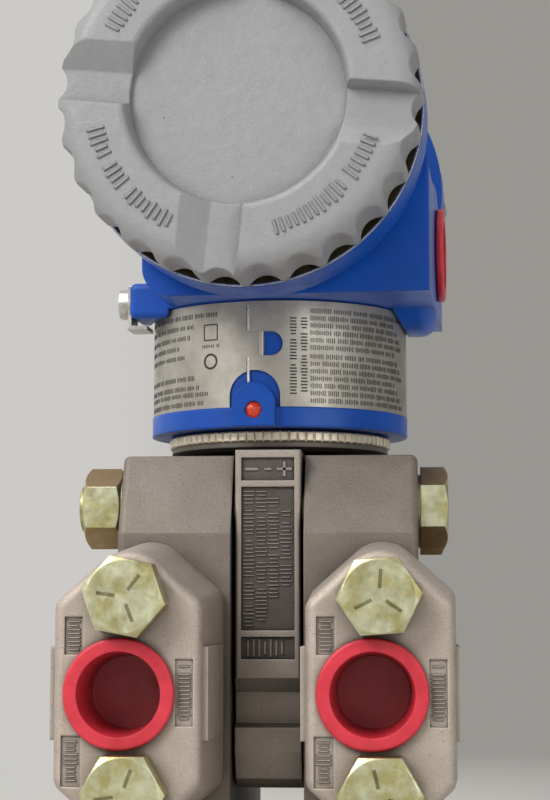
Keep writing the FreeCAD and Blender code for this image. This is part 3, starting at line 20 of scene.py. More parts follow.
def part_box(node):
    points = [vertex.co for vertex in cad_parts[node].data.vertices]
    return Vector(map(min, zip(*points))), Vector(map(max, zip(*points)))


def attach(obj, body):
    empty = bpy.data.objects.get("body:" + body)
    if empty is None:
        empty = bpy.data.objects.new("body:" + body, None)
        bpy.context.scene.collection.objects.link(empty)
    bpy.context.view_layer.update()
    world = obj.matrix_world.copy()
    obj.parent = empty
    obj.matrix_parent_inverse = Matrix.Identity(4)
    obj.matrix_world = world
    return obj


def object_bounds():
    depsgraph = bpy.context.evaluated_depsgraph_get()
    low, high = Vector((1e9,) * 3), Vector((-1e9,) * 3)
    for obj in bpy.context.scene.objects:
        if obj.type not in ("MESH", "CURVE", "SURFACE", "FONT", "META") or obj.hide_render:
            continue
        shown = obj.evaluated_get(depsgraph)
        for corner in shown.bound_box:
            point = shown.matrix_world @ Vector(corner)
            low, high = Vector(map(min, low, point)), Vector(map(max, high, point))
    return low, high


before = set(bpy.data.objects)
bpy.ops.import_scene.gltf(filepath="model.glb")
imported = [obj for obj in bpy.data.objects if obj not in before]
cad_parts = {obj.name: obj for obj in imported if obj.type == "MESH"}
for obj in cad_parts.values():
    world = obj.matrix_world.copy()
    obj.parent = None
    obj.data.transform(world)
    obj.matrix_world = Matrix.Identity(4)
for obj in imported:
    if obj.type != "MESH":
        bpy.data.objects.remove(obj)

LOG = logging.getLogger("transmitter")
MM = 0.001
Array = np.ndarray
Socket = bpy.types.NodeSocket
Material = bpy.types.Material
Node = bpy.types.Node
Pair = tuple[float, float]
Bar = tuple[float, float, float, float]
Colour = tuple[float, float, float]
CAD_BOX = [list(corner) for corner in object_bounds()]
SWIVEL = math.radians(-3.3)
NECK_Y = -44 * MM


# ---- node graphs

class Graph:
    """The node tree of a material or world, built with short calls."""

    def __init__(self, owner: Material | bpy.types.World) -> None:
        """Empty the owner's tree and add the coordinates.

        Args:
            owner: the material or world.
        """
        owner.use_nodes = True
        self.owner = owner
        self.tree = owner.node_tree
        self.tree.nodes.clear()
        self.coordinates = self.node("ShaderNodeTexCoord")
        self.place = self.coordinates.outputs["Object"]

    @classmethod
    def of_material(cls, name: str) -> "Graph":
        """Start the tree of a new material with that name."""
        return cls(bpy.data.materials.new(name))

    def node(self, kind: str, inputs: dict | None = None, **settings: object) -> Node:
        """Add a node.

        Args:
            kind: the node's type name.
            inputs: a number, a colour or the socket that feeds it, for each input by name
                or place.
            settings: properties to set on it.

        Returns:
            The new node.
        """
        made = self.tree.nodes.new(kind)
        for key, setting in settings.items():
            setattr(made, key, setting)
        for key, given in (inputs or {}).items():
            socket = made.inputs[key]
            if isinstance(given, Socket):
                self.tree.links.new(given, socket)
            else:
                socket.default_value = (*given, 1.0) if socket.type == "RGBA" else given
        return made

    def noise(self, size: float, detail: float = 3.0, rough: float = 0.55,
              stretch: Sequence[float] = (1.0, 1.0, 1.0)) -> Socket:
        """Cloudy variation over the surface.

        Args:
            size: the size of a patch, in metres.
            detail: how many finer octaves it has.
            rough: how strong the finer octaves are.
            stretch: how much finer it is along each axis.

        Returns:
            The socket of its value, about 0 to 1.
        """
        mapping = self.node("ShaderNodeMapping", {
            "Vector": self.place, "Scale": [factor / size for factor in stretch]})
        return self.node("ShaderNodeTexNoise", {
            "Vector": mapping.outputs["Vector"], "Scale": 1.0, "Detail": detail,
            "Roughness": rough}).outputs["Fac"]

    def speckle(self, size: float, rarity: float) -> Socket:
        """Small round pits or specks.

        Args:
            size: the distance between specks, in metres.
            rarity: from 0 to 1, how small each speck is within that distance.

        Returns:
            A socket that is 1 in a speck and 0 elsewhere.
        """
        cells = self.node("ShaderNodeTexVoronoi", {"Vector": self.place, "Scale": 1.0 / size})
        return self.spread(cells.outputs["Distance"], 0.32 * (1 - rarity) + 0.03,
                           0.22 * (1 - rarity))

    def spread(self, source: Socket, low: float, high: float,
               to_low: float = 0.0, to_high: float = 1.0, shape: str = "LINEAR") -> Socket:
        """Stretch a value's range, with its ends held.

        Args:
            source: the value.
            low: the value that becomes to_low.
            high: the value that becomes to_high.
            to_low: the result at low.
            to_high: the result at high.
            shape: the course between them, LINEAR or SMOOTHSTEP.

        Returns:
            The stretched value.
        """
        inputs = dict(enumerate((source, low, high, to_low, to_high)))
        return self.node("ShaderNodeMapRange", inputs, clamp=True,
                         interpolation_type=shape).outputs[0]

    def blend(self, share: Socket, first: Colour | Socket, second: Colour | Socket) -> Socket:
        """Mix two colours, or colour sockets, by the share of the second."""
        return self.node("ShaderNodeMix", {0: share, 6: first, 7: second},
                         data_type="RGBA").outputs[2]

    def times(self, first: Socket, second: Socket) -> Socket:
        """The product of two values."""
        return self.node("ShaderNodeMath", {0: first, 1: second}, operation="MULTIPLY").outputs[0]

    def sheen(self, size: float, detail: float, low: float, high: float) -> Socket:
        """Roughness that drifts between two values, in patches of a size in metres."""
        return self.spread(self.noise(size, detail), 0.3, 0.7, low, high)

    def soft_edge(self, radius: float) -> Socket:
        """Normals that make sharp edges read as rounded by a radius in metres."""
        return self.node("ShaderNodeBevel", {"Radius": radius}, samples=4).outputs[0]

    def edges_for_wear_and_highlight(self, radius: float, start: float, full: float) -> Socket:
        """Where the surface turns sharply within a radius: edges and inner corners.

        Args:
            radius: how far from the edge it reaches, in metres.
            start: the turn at which it starts, as 1 minus the cosine.
            full: the turn at which it is full.

        Returns:
            A socket that is 0 on flat ground and 1 at edges.
        """
        normal = self.node("ShaderNodeNewGeometry").outputs["Normal"]
        dot = self.node("ShaderNodeVectorMath", {0: self.soft_edge(radius), 1: normal},
                        operation="DOT_PRODUCT")
        return self.spread(dot.outputs["Value"], 1 - start, 1 - full)

    def hidden(self, reach: float) -> Socket:
        """How closed in a spot is within a reach in metres: 0 in the open, 1 in a hollow."""
        around = self.node("ShaderNodeAmbientOcclusion", {"Distance": reach}, samples=8)
        return self.spread(around.outputs["AO"], 0.25, 0.8, 1.0, 0.0)

    def mix_shaders(self, share: Socket, first: Node, second: Node) -> Socket:
        """Mix two shaders by the share of the second."""
        return self.node("ShaderNodeMixShader", {0: share, 1: first.outputs[0],
                                                 2: second.outputs[0]}).outputs[0]

    def bump(self, height: Socket, depth: float, under: Socket | None = None) -> Socket:
        """Relief from a height value.

        Args:
            height: the height, 0 to 1.
            depth: the relief's depth in metres.
            under: normals of a coarser relief below it.

        Returns:
            The normal.
        """
        inputs = {"Strength": 1.0, "Distance": depth, "Height": height}
        if under is not None:
            inputs["Normal"] = under
        return self.node("ShaderNodeBump", inputs).outputs[0]

    def surface(self, **inputs: object) -> Material:
        """Finish a material with a Principled shader.

        Args:
            inputs: its inputs by name with underscores for spaces, as numbers or sockets.

        Returns:
            The finished material.
        """
        shader = self.node("ShaderNodeBsdfPrincipled", {
            key.replace("_", " "): given for key, given in inputs.items()})
        return self.close("ShaderNodeOutputMaterial", shader.outputs[0])

    def close(self, kind: str, shader: Socket) -> Material | bpy.types.World:
        """Join a shader to a new output node of the given kind, and return the owner."""
        self.node(kind, {"Surface": shader})
        return self.owner


# ---- finishes

def scaled(colour: Colour, factor: float, lift: float = 0.0) -> Colour:
    """A colour made darker or lighter by a factor, and lifted, at most white."""
    return tuple(min(1.0, channel * factor + lift) for channel in colour)


@dataclass(frozen=True)
class CastSteel:
    """Investment cast stainless steel: dull, finely pitted, a little stained.

    Painted highlights lie on its edges and painted shade in its hollows.
    """

    name: str = "bead_blasted_casting"
    light: Colour = (0.54, 0.465, 0.40)
    dark: Colour = (0.41, 0.35, 0.295)
    edge: float = 0.7 * MM
    metallic: float = 0.55
    # How far the painted shade in hollows reaches, in metres.
    painted_shade_reach: float = 16 * MM

    def build(self) -> Material:
        """Build the material."""
        graph = Graph.of_material(self.name)
        clouds = graph.spread(graph.noise(7 * MM, 6.0, 0.7), 0.25, 0.75)
        base = graph.blend(clouds, self.dark, self.light)
        grain = graph.noise(0.5 * MM, 4.0, 0.65)
        base = graph.blend(graph.spread(grain, 0.5, 0.78, 0.0, 0.5), base,
                           scaled(self.dark, 0.45))
        base = graph.blend(graph.speckle(1.9 * MM, 0.8), base, scaled(self.dark, 0.4))
        # Painted highlight: a lighter colour along sharp edges.
        edges = graph.spread(graph.edges_for_wear_and_highlight(self.edge, 0.02, 0.2), 0.0, 1.0, 0.0, 0.55)
        base = graph.blend(edges, base, scaled(self.light, 1.5))
        # Painted shade: a darker colour where the surface is closed in, in hollows and corners.
        base = graph.blend(graph.hidden(self.painted_shade_reach), base, scaled(self.dark, 0.22))
        normal = graph.bump(grain, 0.10 * MM, graph.soft_edge(self.edge))
        normal = graph.bump(graph.noise(5 * MM, 2.0), 0.10 * MM, normal)
        rough = graph.sheen(3.5 * MM, 3.0, 0.5, 0.66)
        return graph.surface(Base_Color=base, Metallic=self.metallic, Roughness=rough,
                             Normal=normal)


@dataclass(frozen=True)
class ZincPlate:
    """Yellow chromate on zinc: green-gold, with silvery patches.

    Faces turned up or down are a darker coppery brown: painted shade.
    """

    name: str = "chromated_zinc"
    gold: Colour = (0.48, 0.44, 0.20)
    pale: Colour = (0.66, 0.67, 0.46)
    # Colour of the painted shade on faces turned up or down.
    painted_shade_brown: Colour = (0.30, 0.18, 0.08)

    def build(self) -> Material:
        """Build the material."""
        graph = Graph.of_material(self.name)
        normal = graph.node("ShaderNodeNewGeometry").outputs["Normal"]
        split = graph.node("ShaderNodeSeparateXYZ", {0: normal})
        patches = graph.spread(graph.noise(4.5 * MM, 4.0, 0.6), 0.38, 0.62)
        base = graph.blend(patches, self.gold, self.pale)
        # Painted shade: faces turned up or down get a darker coppery brown.
        tilt = graph.node("ShaderNodeMath", {0: split.outputs["Z"]}, operation="ABSOLUTE")
        base = graph.blend(graph.spread(tilt.outputs[0], 0.35, 0.8, 0.0, 0.85), base, self.painted_shade_brown)
        specks = graph.speckle(0.9 * MM, 0.78)
        base = graph.blend(specks, base, (0.2, 0.16, 0.08))
        normal = graph.bump(graph.noise(0.8 * MM, 4.0, 0.6), 0.05 * MM,
                            graph.soft_edge(0.35 * MM))
        rough = graph.sheen(2.0 * MM, 3.0, 0.32, 0.5)
        return graph.surface(Base_Color=base, Metallic=1.0, Roughness=rough, Normal=normal)


@dataclass(frozen=True)
class MachinedSteel:
    """Turned or ground stainless steel with faint tool lines."""

    name: str = "machined_steel"
    colour: Colour = (0.60, 0.58, 0.55)
    dull: Colour = (0.42, 0.40, 0.36)
    roughness: float = 0.32

    def build(self) -> Material:
        """Build the material."""
        graph = Graph.of_material(self.name)
        clouds = graph.spread(graph.noise(3 * MM, 4.0), 0.4, 0.66)
        base = graph.blend(clouds, self.colour, self.dull)
        lines = graph.noise(0.5 * MM, 2.0, 0.5, (0.1, 0.1, 1.6))
        normal = graph.bump(lines, 0.012 * MM, graph.soft_edge(0.25 * MM))
        rough = graph.sheen(1.2 * MM, 3.0, self.roughness - 0.06, self.roughness + 0.1)
        return graph.surface(Base_Color=base, Metallic=1.0, Roughness=rough, Normal=normal)


@dataclass(frozen=True)
class PlateSteel:
    """Thin stainless sheet, satin rolled round the neck, with light smudges."""

    name: str = "satin_sheet"
    bright: Colour = (0.50, 0.475, 0.42)
    smudge: Colour = (0.34, 0.315, 0.27)

    def build(self) -> Material:
        """Build the material."""
        graph = Graph.of_material(self.name)
        smudges = graph.spread(graph.noise(11 * MM, 4.0, 0.6), 0.4, 0.7)
        base = graph.blend(smudges, self.bright, self.smudge)
        rolled = graph.noise(0.35 * MM, 3.0, 0.6, (0.03, 0.03, 1.0))
        dents = graph.noise(14 * MM, 1.0)
        normal = graph.bump(rolled, 0.008 * MM)
        normal = graph.bump(dents, 0.10 * MM, normal)
        rough = graph.spread(smudges, 0.0, 1.0, 0.42, 0.54)
        return graph.surface(Base_Color=base, Metallic=0.85, Roughness=rough, Normal=normal)


@dataclass(frozen=True)
class HousingPaint:
    """Smooth blue paint on a die casting, with orange peel and rubbed edges."""

    name: str = "housing_paint"
    colour: Colour = (0.005, 0.082, 0.45)
    deep: Colour = (0.004, 0.066, 0.37)
    rubbed: Colour = (0.05, 0.15, 0.48)

    def build(self) -> Material:
        """Build the material."""
        graph = Graph.of_material(self.name)
        tone = graph.spread(graph.noise(18 * MM, 3.0), 0.35, 0.65)
        base = graph.blend(tone, self.colour, self.deep)
        edges = graph.edges_for_wear_and_highlight(0.5 * MM, 0.03, 0.25)
        patchy = graph.spread(graph.noise(2.2 * MM, 4.0, 0.7), 0.52, 0.7)
        base = graph.blend(graph.times(edges, patchy), base, self.rubbed)
        peel = graph.noise(1.1 * MM, 2.0, 0.5)
        normal = graph.bump(peel, 0.03 * MM, graph.soft_edge(0.9 * MM))
        normal = graph.bump(graph.noise(8 * MM, 2.0), 0.12 * MM, normal)
        rough = graph.sheen(5 * MM, 3.0, 0.3, 0.42)
        return graph.surface(Base_Color=base, Roughness=rough, Normal=normal, Coat_Weight=0.06,
                             Coat_Roughness=0.2, Specular_IOR_Level=0.28)


@dataclass(frozen=True)
class CoverPowder:
    """Grey powder coat with a fine sandy texture and small dark scuffs."""

    name: str = "grey_powder"
    colour: Colour = (0.295, 0.295, 0.30)
    shade: Colour = (0.25, 0.25, 0.26)
    # Colour of the painted shade in hollows and corners.
    painted_hollow_shade: Colour = (0.10, 0.098, 0.095)

    def build(self) -> Material:
        """Build the material."""
        graph = Graph.of_material(self.name)
        tone = graph.spread(graph.noise(3 * MM, 6.0, 0.75), 0.25, 0.75)
        base = graph.blend(tone, self.colour, self.shade)
        scuffs = graph.speckle(6.5 * MM, 0.9)
        base = graph.blend(scuffs, base, (0.16, 0.155, 0.15))
        # Painted shade: darker where the surface is closed in, in hollows and corners.
        base = graph.blend(graph.hidden(7 * MM), base, self.painted_hollow_shade)
        sand = graph.noise(0.5 * MM, 3.0, 0.6)
        normal = graph.bump(sand, 0.09 * MM, graph.soft_edge(0.8 * MM))
        normal = graph.bump(graph.noise(2.2 * MM, 3.0), 0.11 * MM, normal)
        rough = graph.sheen(1.5 * MM, 3.0, 0.38, 0.5)
        return graph.surface(Base_Color=base, Roughness=rough, Normal=normal,
                             Specular_IOR_Level=0.55)


@dataclass(frozen=True)
class ShippingPlastic:
    """Soft red polyethylene, slightly translucent and waxy."""

    name: str = "shipping_plastic"
    colour: Colour = (0.66, 0.035, 0.060)
    deep: Colour = (0.52, 0.018, 0.035)
    # Colour of the painted shade deep in the plug's hollow.
    painted_inner_shade: Colour = (0.20, 0.004, 0.008)

    def build(self) -> Material:
        """Build the material."""
        graph = Graph.of_material(self.name)
        tone = graph.spread(graph.noise(6 * MM, 3.0), 0.35, 0.65)
        base = graph.blend(tone, self.colour, self.deep)
        # Painted shade: darker red where the surface is closed in, inside the plug's hollow.
        base = graph.blend(graph.hidden(15 * MM), base, self.painted_inner_shade)
        normal = graph.bump(graph.noise(0.9 * MM, 3.0), 0.02 * MM, graph.soft_edge(0.5 * MM))
        rough = graph.sheen(2.5 * MM, 3.0, 0.36, 0.5)
        return graph.surface(Base_Color=base, Roughness=rough, Normal=normal,
                             Subsurface_Weight=0.18, Subsurface_Scale=2 * MM,
                             Subsurface_Radius=(1.0, 0.25, 0.2))


@dataclass(frozen=True)
class Moulded:
    """Plain moulded plastic or rubber in one colour, with a faint skin."""

    name: str
    colour: Colour
    roughness: float = 0.6
    grain: float = 0.7 * MM

    def build(self) -> Material:
        """Build the material."""
        graph = Graph.of_material(self.name)
        tone = graph.spread(graph.noise(4 * MM, 3.0), 0.35, 0.7)
        base = graph.blend(tone, self.colour, scaled(self.colour, 1.35, 0.004))
        normal = graph.bump(graph.noise(self.grain, 3.0), 0.02 * MM)
        rough = graph.sheen(2 * MM, 2.0, self.roughness - 0.07, self.roughness + 0.08)
        return graph.surface(Base_Color=base, Roughness=rough, Normal=normal)


class Look(Enum):
    """The finishes, each with the record's slot that it belongs to."""

    CAST = (CastSteel(), "cast_steel")
    # A darker copy of the cast steel for the process covers: painted shade.
    COVER_CAST = (CastSteel("shaded_cover_casting", (0.28, 0.24, 0.205), (0.19, 0.16, 0.135)),
                  "cast_steel")
    # A darker copy of the cast steel for the sensor body: painted shade.
    BODY = (CastSteel("shaded_sensor_casting", (0.46, 0.40, 0.35), (0.32, 0.28, 0.24), 0.6 * MM, 0.7),
            "cast_steel")
    MARK_FLOOR = (CastSteel("marked_ground", (0.13, 0.11, 0.095), (0.065, 0.055, 0.046),
                            0.2 * MM, 0.4), "cast_steel")
    MARK = (CastSteel("raised_mark", (0.34, 0.30, 0.26), (0.20, 0.175, 0.15), 0.15 * MM),
            "cast_steel")
    FACE_MARK = (CastSteel("face_mark", (0.50, 0.44, 0.385), (0.33, 0.285, 0.245), 0.15 * MM),
                 "cast_steel")
    ZINC = (ZincPlate(), "yellow_zinc")
    STAMP = (ZincPlate("stamped_zinc", (0.20, 0.175, 0.075), (0.31, 0.30, 0.18)), "yellow_zinc")
    RING = (MachinedSteel("serrated_plating", (0.92, 0.84, 0.68), (0.66, 0.58, 0.45), 0.5),
            "plated_ring")
    STAINLESS = (MachinedSteel(), "stainless")
    PLATE = (PlateSteel(), "plate_steel")
    # Bright bare metal; on the data plate's lap it is a painted highlight.
    SHEARED = (MachinedSteel("bare_metal_and_painted_highlight", (0.85, 0.83, 0.79), (0.7, 0.68, 0.64), 0.25),
               "plate_steel")
    BLUE = (HousingPaint(), "blue_paint")
    GREY = (CoverPowder(), "grey_paint")
    RED = (ShippingPlastic(), "red_plastic")
    RUBBER = (Moulded("nitrile", (0.012, 0.012, 0.013), 0.55), "black_rubber")
    POTTED = (Moulded("potting", (0.018, 0.018, 0.02), 0.5), "potted_black")
    BRASS = (MachinedSteel("plated_brass", (0.72, 0.56, 0.28), (0.52, 0.38, 0.16), 0.3),
             "terminal_brass")
    # Dark ink for print; beside the data plate's lap it is a painted shadow.
    INK = (Moulded("print_and_painted_shadow", (0.016, 0.015, 0.014), 0.5), "plate_steel")
    LACQUER = (Moulded("seal_lacquer", (0.52, 0.035, 0.012), 0.3, 0.5 * MM), "red_plastic")
    # Near-black chromate: the machined end face darkened as painted shadow in the gap under the
    # cover's rim.
    CHROMATE = (MachinedSteel("chromate_in_painted_shadow", (0.045, 0.04, 0.018), (0.016, 0.014, 0.008), 0.55),
                "blue_paint")

    def material(self) -> Material:
        """The look's material, built the first time it is asked for."""
        finish = self.value[0]
        return bpy.data.materials.get(finish.name) or finish.build()

    @property
    def slot(self) -> str:
        """The record's material slot."""
        return self.value[1]


# ---- mesh helpers

def grid_quads(rows: int, columns: int, ring_rows: bool = True) -> Array:
    """Quads of a grid of points stored row by row, where each row closes to a ring.

    Args:
        rows: the number of rows.
        columns: the number of points in a row.
        ring_rows: whether the last row joins the first.

    Returns:
        An array of four point numbers for each quad.
    """
    row, column = np.meshgrid(np.arange(rows if ring_rows else rows - 1), np.arange(columns),
                              indexing="ij")
    below, right = (row + 1) % rows, (column + 1) % columns
    corners = [row * columns + column, row * columns + right,
               below * columns + right, below * columns + column]
    return np.stack(corners, axis=-1).reshape(-1, 4)


def add_object(name: str, data: bpy.types.ID) -> bpy.types.Object:
    """Put data into the scene as an object.

    Args:
        name: the object's name.
        data: its mesh, lamp or camera.

    Returns:
        The object.
    """
    made = bpy.data.objects.new(name, data)
    bpy.context.scene.collection.objects.link(made)
    return made


def make_piece(name: str, points: Array, quads: Array, look: Look, body: str,
               smooth: bool = False) -> bpy.types.Object:
    """Put points and quads into a new piece that rides on a body.

    Args:
        name: the piece's name.
        points: its points, in metres, one per row.
        quads: point numbers, four per row.
        look: its finish.
        body: the moving body that it rides on.
        smooth: whether it is shaded smooth.

    Returns:
        The piece.
    """
    mesh = bpy.data.meshes.new(name)
    mesh.from_pydata(points.tolist(), [], quads.tolist())
    mesh.polygons.foreach_set("use_smooth", [smooth] * len(mesh.polygons))
    mesh.materials.append(look.material())
    mesh.validate()
    mesh.update()
    piece = add_object(name, mesh)
    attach(piece, body)
    LOG.info("%s: %d points on %s", name, len(points), body)
    return piece


def turned_surface(profile: Array, centre: Vector, axis: "Axis", count: int = 96) -> Array:
    """Points of a surface of revolution.

    Each profile point (radius r, height h) goes round the axis: with t the turn and u, v two
    unit vectors square to the axis w, a point is centre + r cos(t) u + r sin(t) v + h w.

    Args:
        profile: radius and height pairs, in metres.
        centre: the point where h is 0.
        axis: the direction of h.
        count: the number of steps round.

    Returns:
        The points, one profile after another.
    """
    u, v, w = axis.value
    turn = np.linspace(0, 2 * np.pi, count, endpoint=False)[:, None, None]
    radius, height = profile[None, :, :1], profile[None, :, 1:]
    ring = np.cos(turn) * np.array(u) + np.sin(turn) * np.array(v)
    return (np.array(centre) + radius * ring + height * np.array(w)).reshape(-1, 3)


def swing(points: Array, turn: float = SWIVEL) -> Array:
    """Turn points about the neck axis, as the housing stands on its spigot.

    With (x, y) measured from the neck axis and a the turn, a point goes to
    (x cos a - y sin a, x sin a + y cos a) and keeps its height.

    Args:
        points: one point per row, in metres.
        turn: the angle, in radians.

    Returns:
        The turned points.
    """
    x, y = points[:, 0], points[:, 1] - NECK_Y
    return np.stack([x * math.cos(turn) - y * math.sin(turn),
                     x * math.sin(turn) + y * math.cos(turn) + NECK_Y, points[:, 2]], axis=1)


def vertices_of(mesh: bpy.types.Mesh) -> Array:
    """Read a mesh's points.

    Args:
        mesh: the mesh.

    Returns:
        Its points, one per row.
    """
    points = np.empty(len(mesh.vertices) * 3)
    mesh.vertices.foreach_get("co", points)
    return points.reshape(-1, 3)


def square_box(name: str) -> tuple[Array, Array]:
    """Lowest and highest corner of a node, measured along the housing's own directions.

    Args:
        name: a node that turns with the housing.

    Returns:
        The two corners, before the housing's turn.
    """
    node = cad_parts[name]
    world = np.array(node.matrix_world)
    straight = swing(vertices_of(node.data) @ world[:3, :3].T + world[:3, 3], -SWIVEL)
    return straight.min(axis=0), straight.max(axis=0)


class Axis(Enum):
    """Directions that turned pieces face, each with two unit vectors square to it."""

    FRONT = ((1, 0, 0), (0, 0, 1), (0, -1, 0))
    REAR = ((-1, 0, 0), (0, 0, 1), (0, 1, 0))
    LEFT = ((0, -1, 0), (0, 0, 1), (-1, 0, 0))


def low_blocks(sizes: Array, lift: float, bevel: float) -> tuple[Array, Array]:
    """Low raised bars with sloping sides, side by side in a flat sheet.

    Each bar is a rectangle of half width a and half height b about (u, v). Its foot has the
    full rectangle at w = 0 and its top the rectangle less the bevel at w = lift.

    Args:
        sizes: one row per bar: u, v, half width and half height.
        lift: how far the tops stand out.
        bevel: how much smaller the top is on each side.

    Returns:
        Points in (u, v, w), and quads.
    """
    sign = np.array([(-1, -1), (1, -1), (1, 1), (-1, 1)], float)
    middle, half = sizes[:, None, :2], sizes[:, None, 2:]
    foot = middle + sign * half
    top = middle + sign * np.maximum(half - bevel, half * 0.3)
    flat = np.concatenate([foot, top], axis=1)
    height = np.broadcast_to(np.repeat([0.0, lift], 4)[None, :, None], (len(sizes), 8, 1))
    points = np.concatenate([flat, height], axis=2).reshape(-1, 3)
    one = np.array([(0, 1, 5, 4), (1, 2, 6, 5), (2, 3, 7, 6), (3, 0, 4, 7), (4, 5, 6, 7),
                    (3, 2, 1, 0)])
    quads = (one[None] + 8 * np.arange(len(sizes))[:, None, None]).reshape(-1, 4)
    return points, quads


def front_marks(name: str, sheet: tuple[Array, Array], level: float, look: Look,
                body: str) -> None:
    """Make a piece of bars on a face at y = level. A point (u, v, w) goes to (u, y - w, v).

    Args:
        name: the piece's name.
        sheet: the bars' points and quads.
        level: the Y of the face.
        look: its finish.
        body: the moving body that it rides on.
    """
    points, quads = sheet
    place = np.stack([points[:, 0], level - points[:, 2], points[:, 1]], axis=1)
    make_piece(name, place, quads, look, body)


def line_of_strokes(start: float, end: float, level: float, height: float, stroke: float,
                    seed: int) -> Array:
    """A row of plain upright strokes, grouped and spaced like a line of print.

    Strokes follow each other at a pitch of 2.1 strokes or a little more. After a few of them
    one is left out. The groups and the heights come from a seeded generator.

    Args:
        start: where the row begins.
        end: where it ends.
        level: the row's middle.
        height: the tallest stroke.
        stroke: the width of a stroke.
        seed: chooses the grouping.

    Returns:
        One row per stroke: u, v, half width and half height.
    """
    chance = np.random.default_rng(seed)
    count = max(1, int((end - start) / (2.1 * stroke)))
    places = start + (np.arange(count) + 0.5) * (end - start) / count
    groups = np.cumsum(chance.integers(5, 13, count))
    keep = ~np.isin(np.arange(count), groups)
    tall = height * chance.choice([0.5, 0.42, 0.5, 0.36], count)
    rows = np.stack([places, np.full(count, level), np.full(count, stroke / 2), tall], axis=1)
    return rows[keep]


# ---- sub-assemblies

def dress(nodes: Sequence[str], look: Look) -> None:
    """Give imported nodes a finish.

    Args:
        nodes: the nodes' names.
        look: the finish.
    """
    for name in nodes:
        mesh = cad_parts[name].data
        mesh.materials.clear()
        mesh.materials.append(look.material())
        LOG.info("%s: %s", name, look.name.lower())


@dataclass
class MeasuringEnd:
    """Sensor body and process covers: cast steel with a marked strip."""

    body: str = "measuring_end"
    half_body: float = 7.8 * MM
    rim: float = 1.5 * MM
    recess: float = 0.8 * MM
    stroke: float = 0.42 * MM
    lift: float = 0.35 * MM
    top_panel: Pair = (48.25 * MM, 53.7 * MM)
    long_panel: Pair = (13.0 * MM, 46.75 * MM)
    low_panel: Pair = (6.3 * MM, 11.5 * MM)
    stud_radii: tuple[float, float, float] = (5.2 * MM, 5.42 * MM, 5.53 * MM)
    stud_span: Pair = (-1.15 * MM, -0.25 * MM)

    def build(self) -> None:
        """Dress the castings, fasteners and discs, then add the strip's marks."""
        # The process covers take a darker copy of the cast steel, as painted shade.
        dress(["low_process_cover", "high_process_cover"], Look.COVER_CAST)
        # The sensor body takes a darker copy of the cast steel, as painted shade.
        dress(["sensor_body"], Look.BODY)
        dress([f"cover_bolt_{i}" for i in range(1, 5)] + [f"cover_nut_{i}" for i in range(1, 5)],
              Look.ZINC)
        dress(["low_vent_plug", "high_vent_plug", "low_vent_screw", "high_vent_screw",
               "low_diaphragm", "high_diaphragm", "sensor_header"], Look.STAINLESS)
        dress(["low_cover_gasket", "high_cover_gasket", "neck_seal"], Look.RUBBER)
        dress(["knurled_ring"], Look.RING)
        self.strip_ground()
        self.strip_marks()
        for number in range(1, 5):
            self.stud_thread(number)

    def floor(self) -> float:
        """The Y of the panels' floors."""
        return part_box("sensor_body")[0].y + self.recess

    def half_width(self) -> float:
        """Half the panels' width."""
        return self.half_body - self.rim

    def strip_ground(self) -> None:
        """Darker ground in the three panels, a film over each floor."""
        panels = [self.top_panel, self.long_panel, self.low_panel]
        sizes = np.array([(0.0, (low + high) / 2, self.half_width() - 0.05 * MM,
                           (high - low) / 2 - 0.05 * MM) for low, high in panels])
        front_marks("strip_ground", low_blocks(sizes, 0.03 * MM, 0.01 * MM), self.floor(),
                    Look.MARK_FLOOR, self.body)

    def strip_marks(self) -> None:
        """Raised marks: minus and plus in the top panel, plain strokes in the others."""
        wide = self.half_width()
        top = sum(self.top_panel) / 2
        sides = [(-0.62 * wide, top, 1.7 * MM, 0.42 * MM), (0.0, top, 0.95 * MM, 0.36 * MM),
                 (0.62 * wide, top, 1.9 * MM, 0.42 * MM), (0.62 * wide, top, 0.42 * MM, 1.9 * MM)]
        low, high = self.long_panel
        length = high - low
        spans = [(0.02, 0.98, -0.72), (0.06, 0.98, -0.25), (0.22, 0.93, 0.2), (0.3, 0.84, 0.68)]
        rows = [line_of_strokes(low + first * length, low + last * length, column * wide,
                                2.9 * MM, self.stroke, 11 + index)[:, [1, 0, 3, 2]]
                for index, (first, last, column) in enumerate(spans)]
        rows.append(line_of_strokes(-0.85 * wide, 0.85 * wide, sum(self.low_panel) / 2,
                                    4.3 * MM, 0.62 * MM, 21))
        sizes = np.concatenate([np.array(sides)] + rows)
        front_marks("strip_marks", low_blocks(sizes, self.lift, 0.1 * MM), self.floor(),
                    Look.MARK, self.body)

    def stud_thread(self, number: int) -> None:
        """Thread crests on a cover bolt's end, where it passes its nut.

        A sleeve whose radius goes from root to crest and back four times along its length.

        Args:
            number: the bolt's number.
        """
        low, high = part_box(f"cover_bolt_{number}")
        centre = Vector((low.x, (low.y + high.y) / 2, (low.z + high.z) / 2))
        core, root, crest = self.stud_radii
        first, last = self.stud_span
        outer = np.stack([[root, crest] * 4 + [root], np.linspace(first, last, 9)], axis=1)
        inner = np.array([(core, last), (core, first)])
        points = turned_surface(np.concatenate([outer, inner]), centre, Axis.LEFT, 72)
        outward(make_piece(f"stud_thread_{number}", points, grid_quads(72, 11),
                           Look.ZINC, self.body))


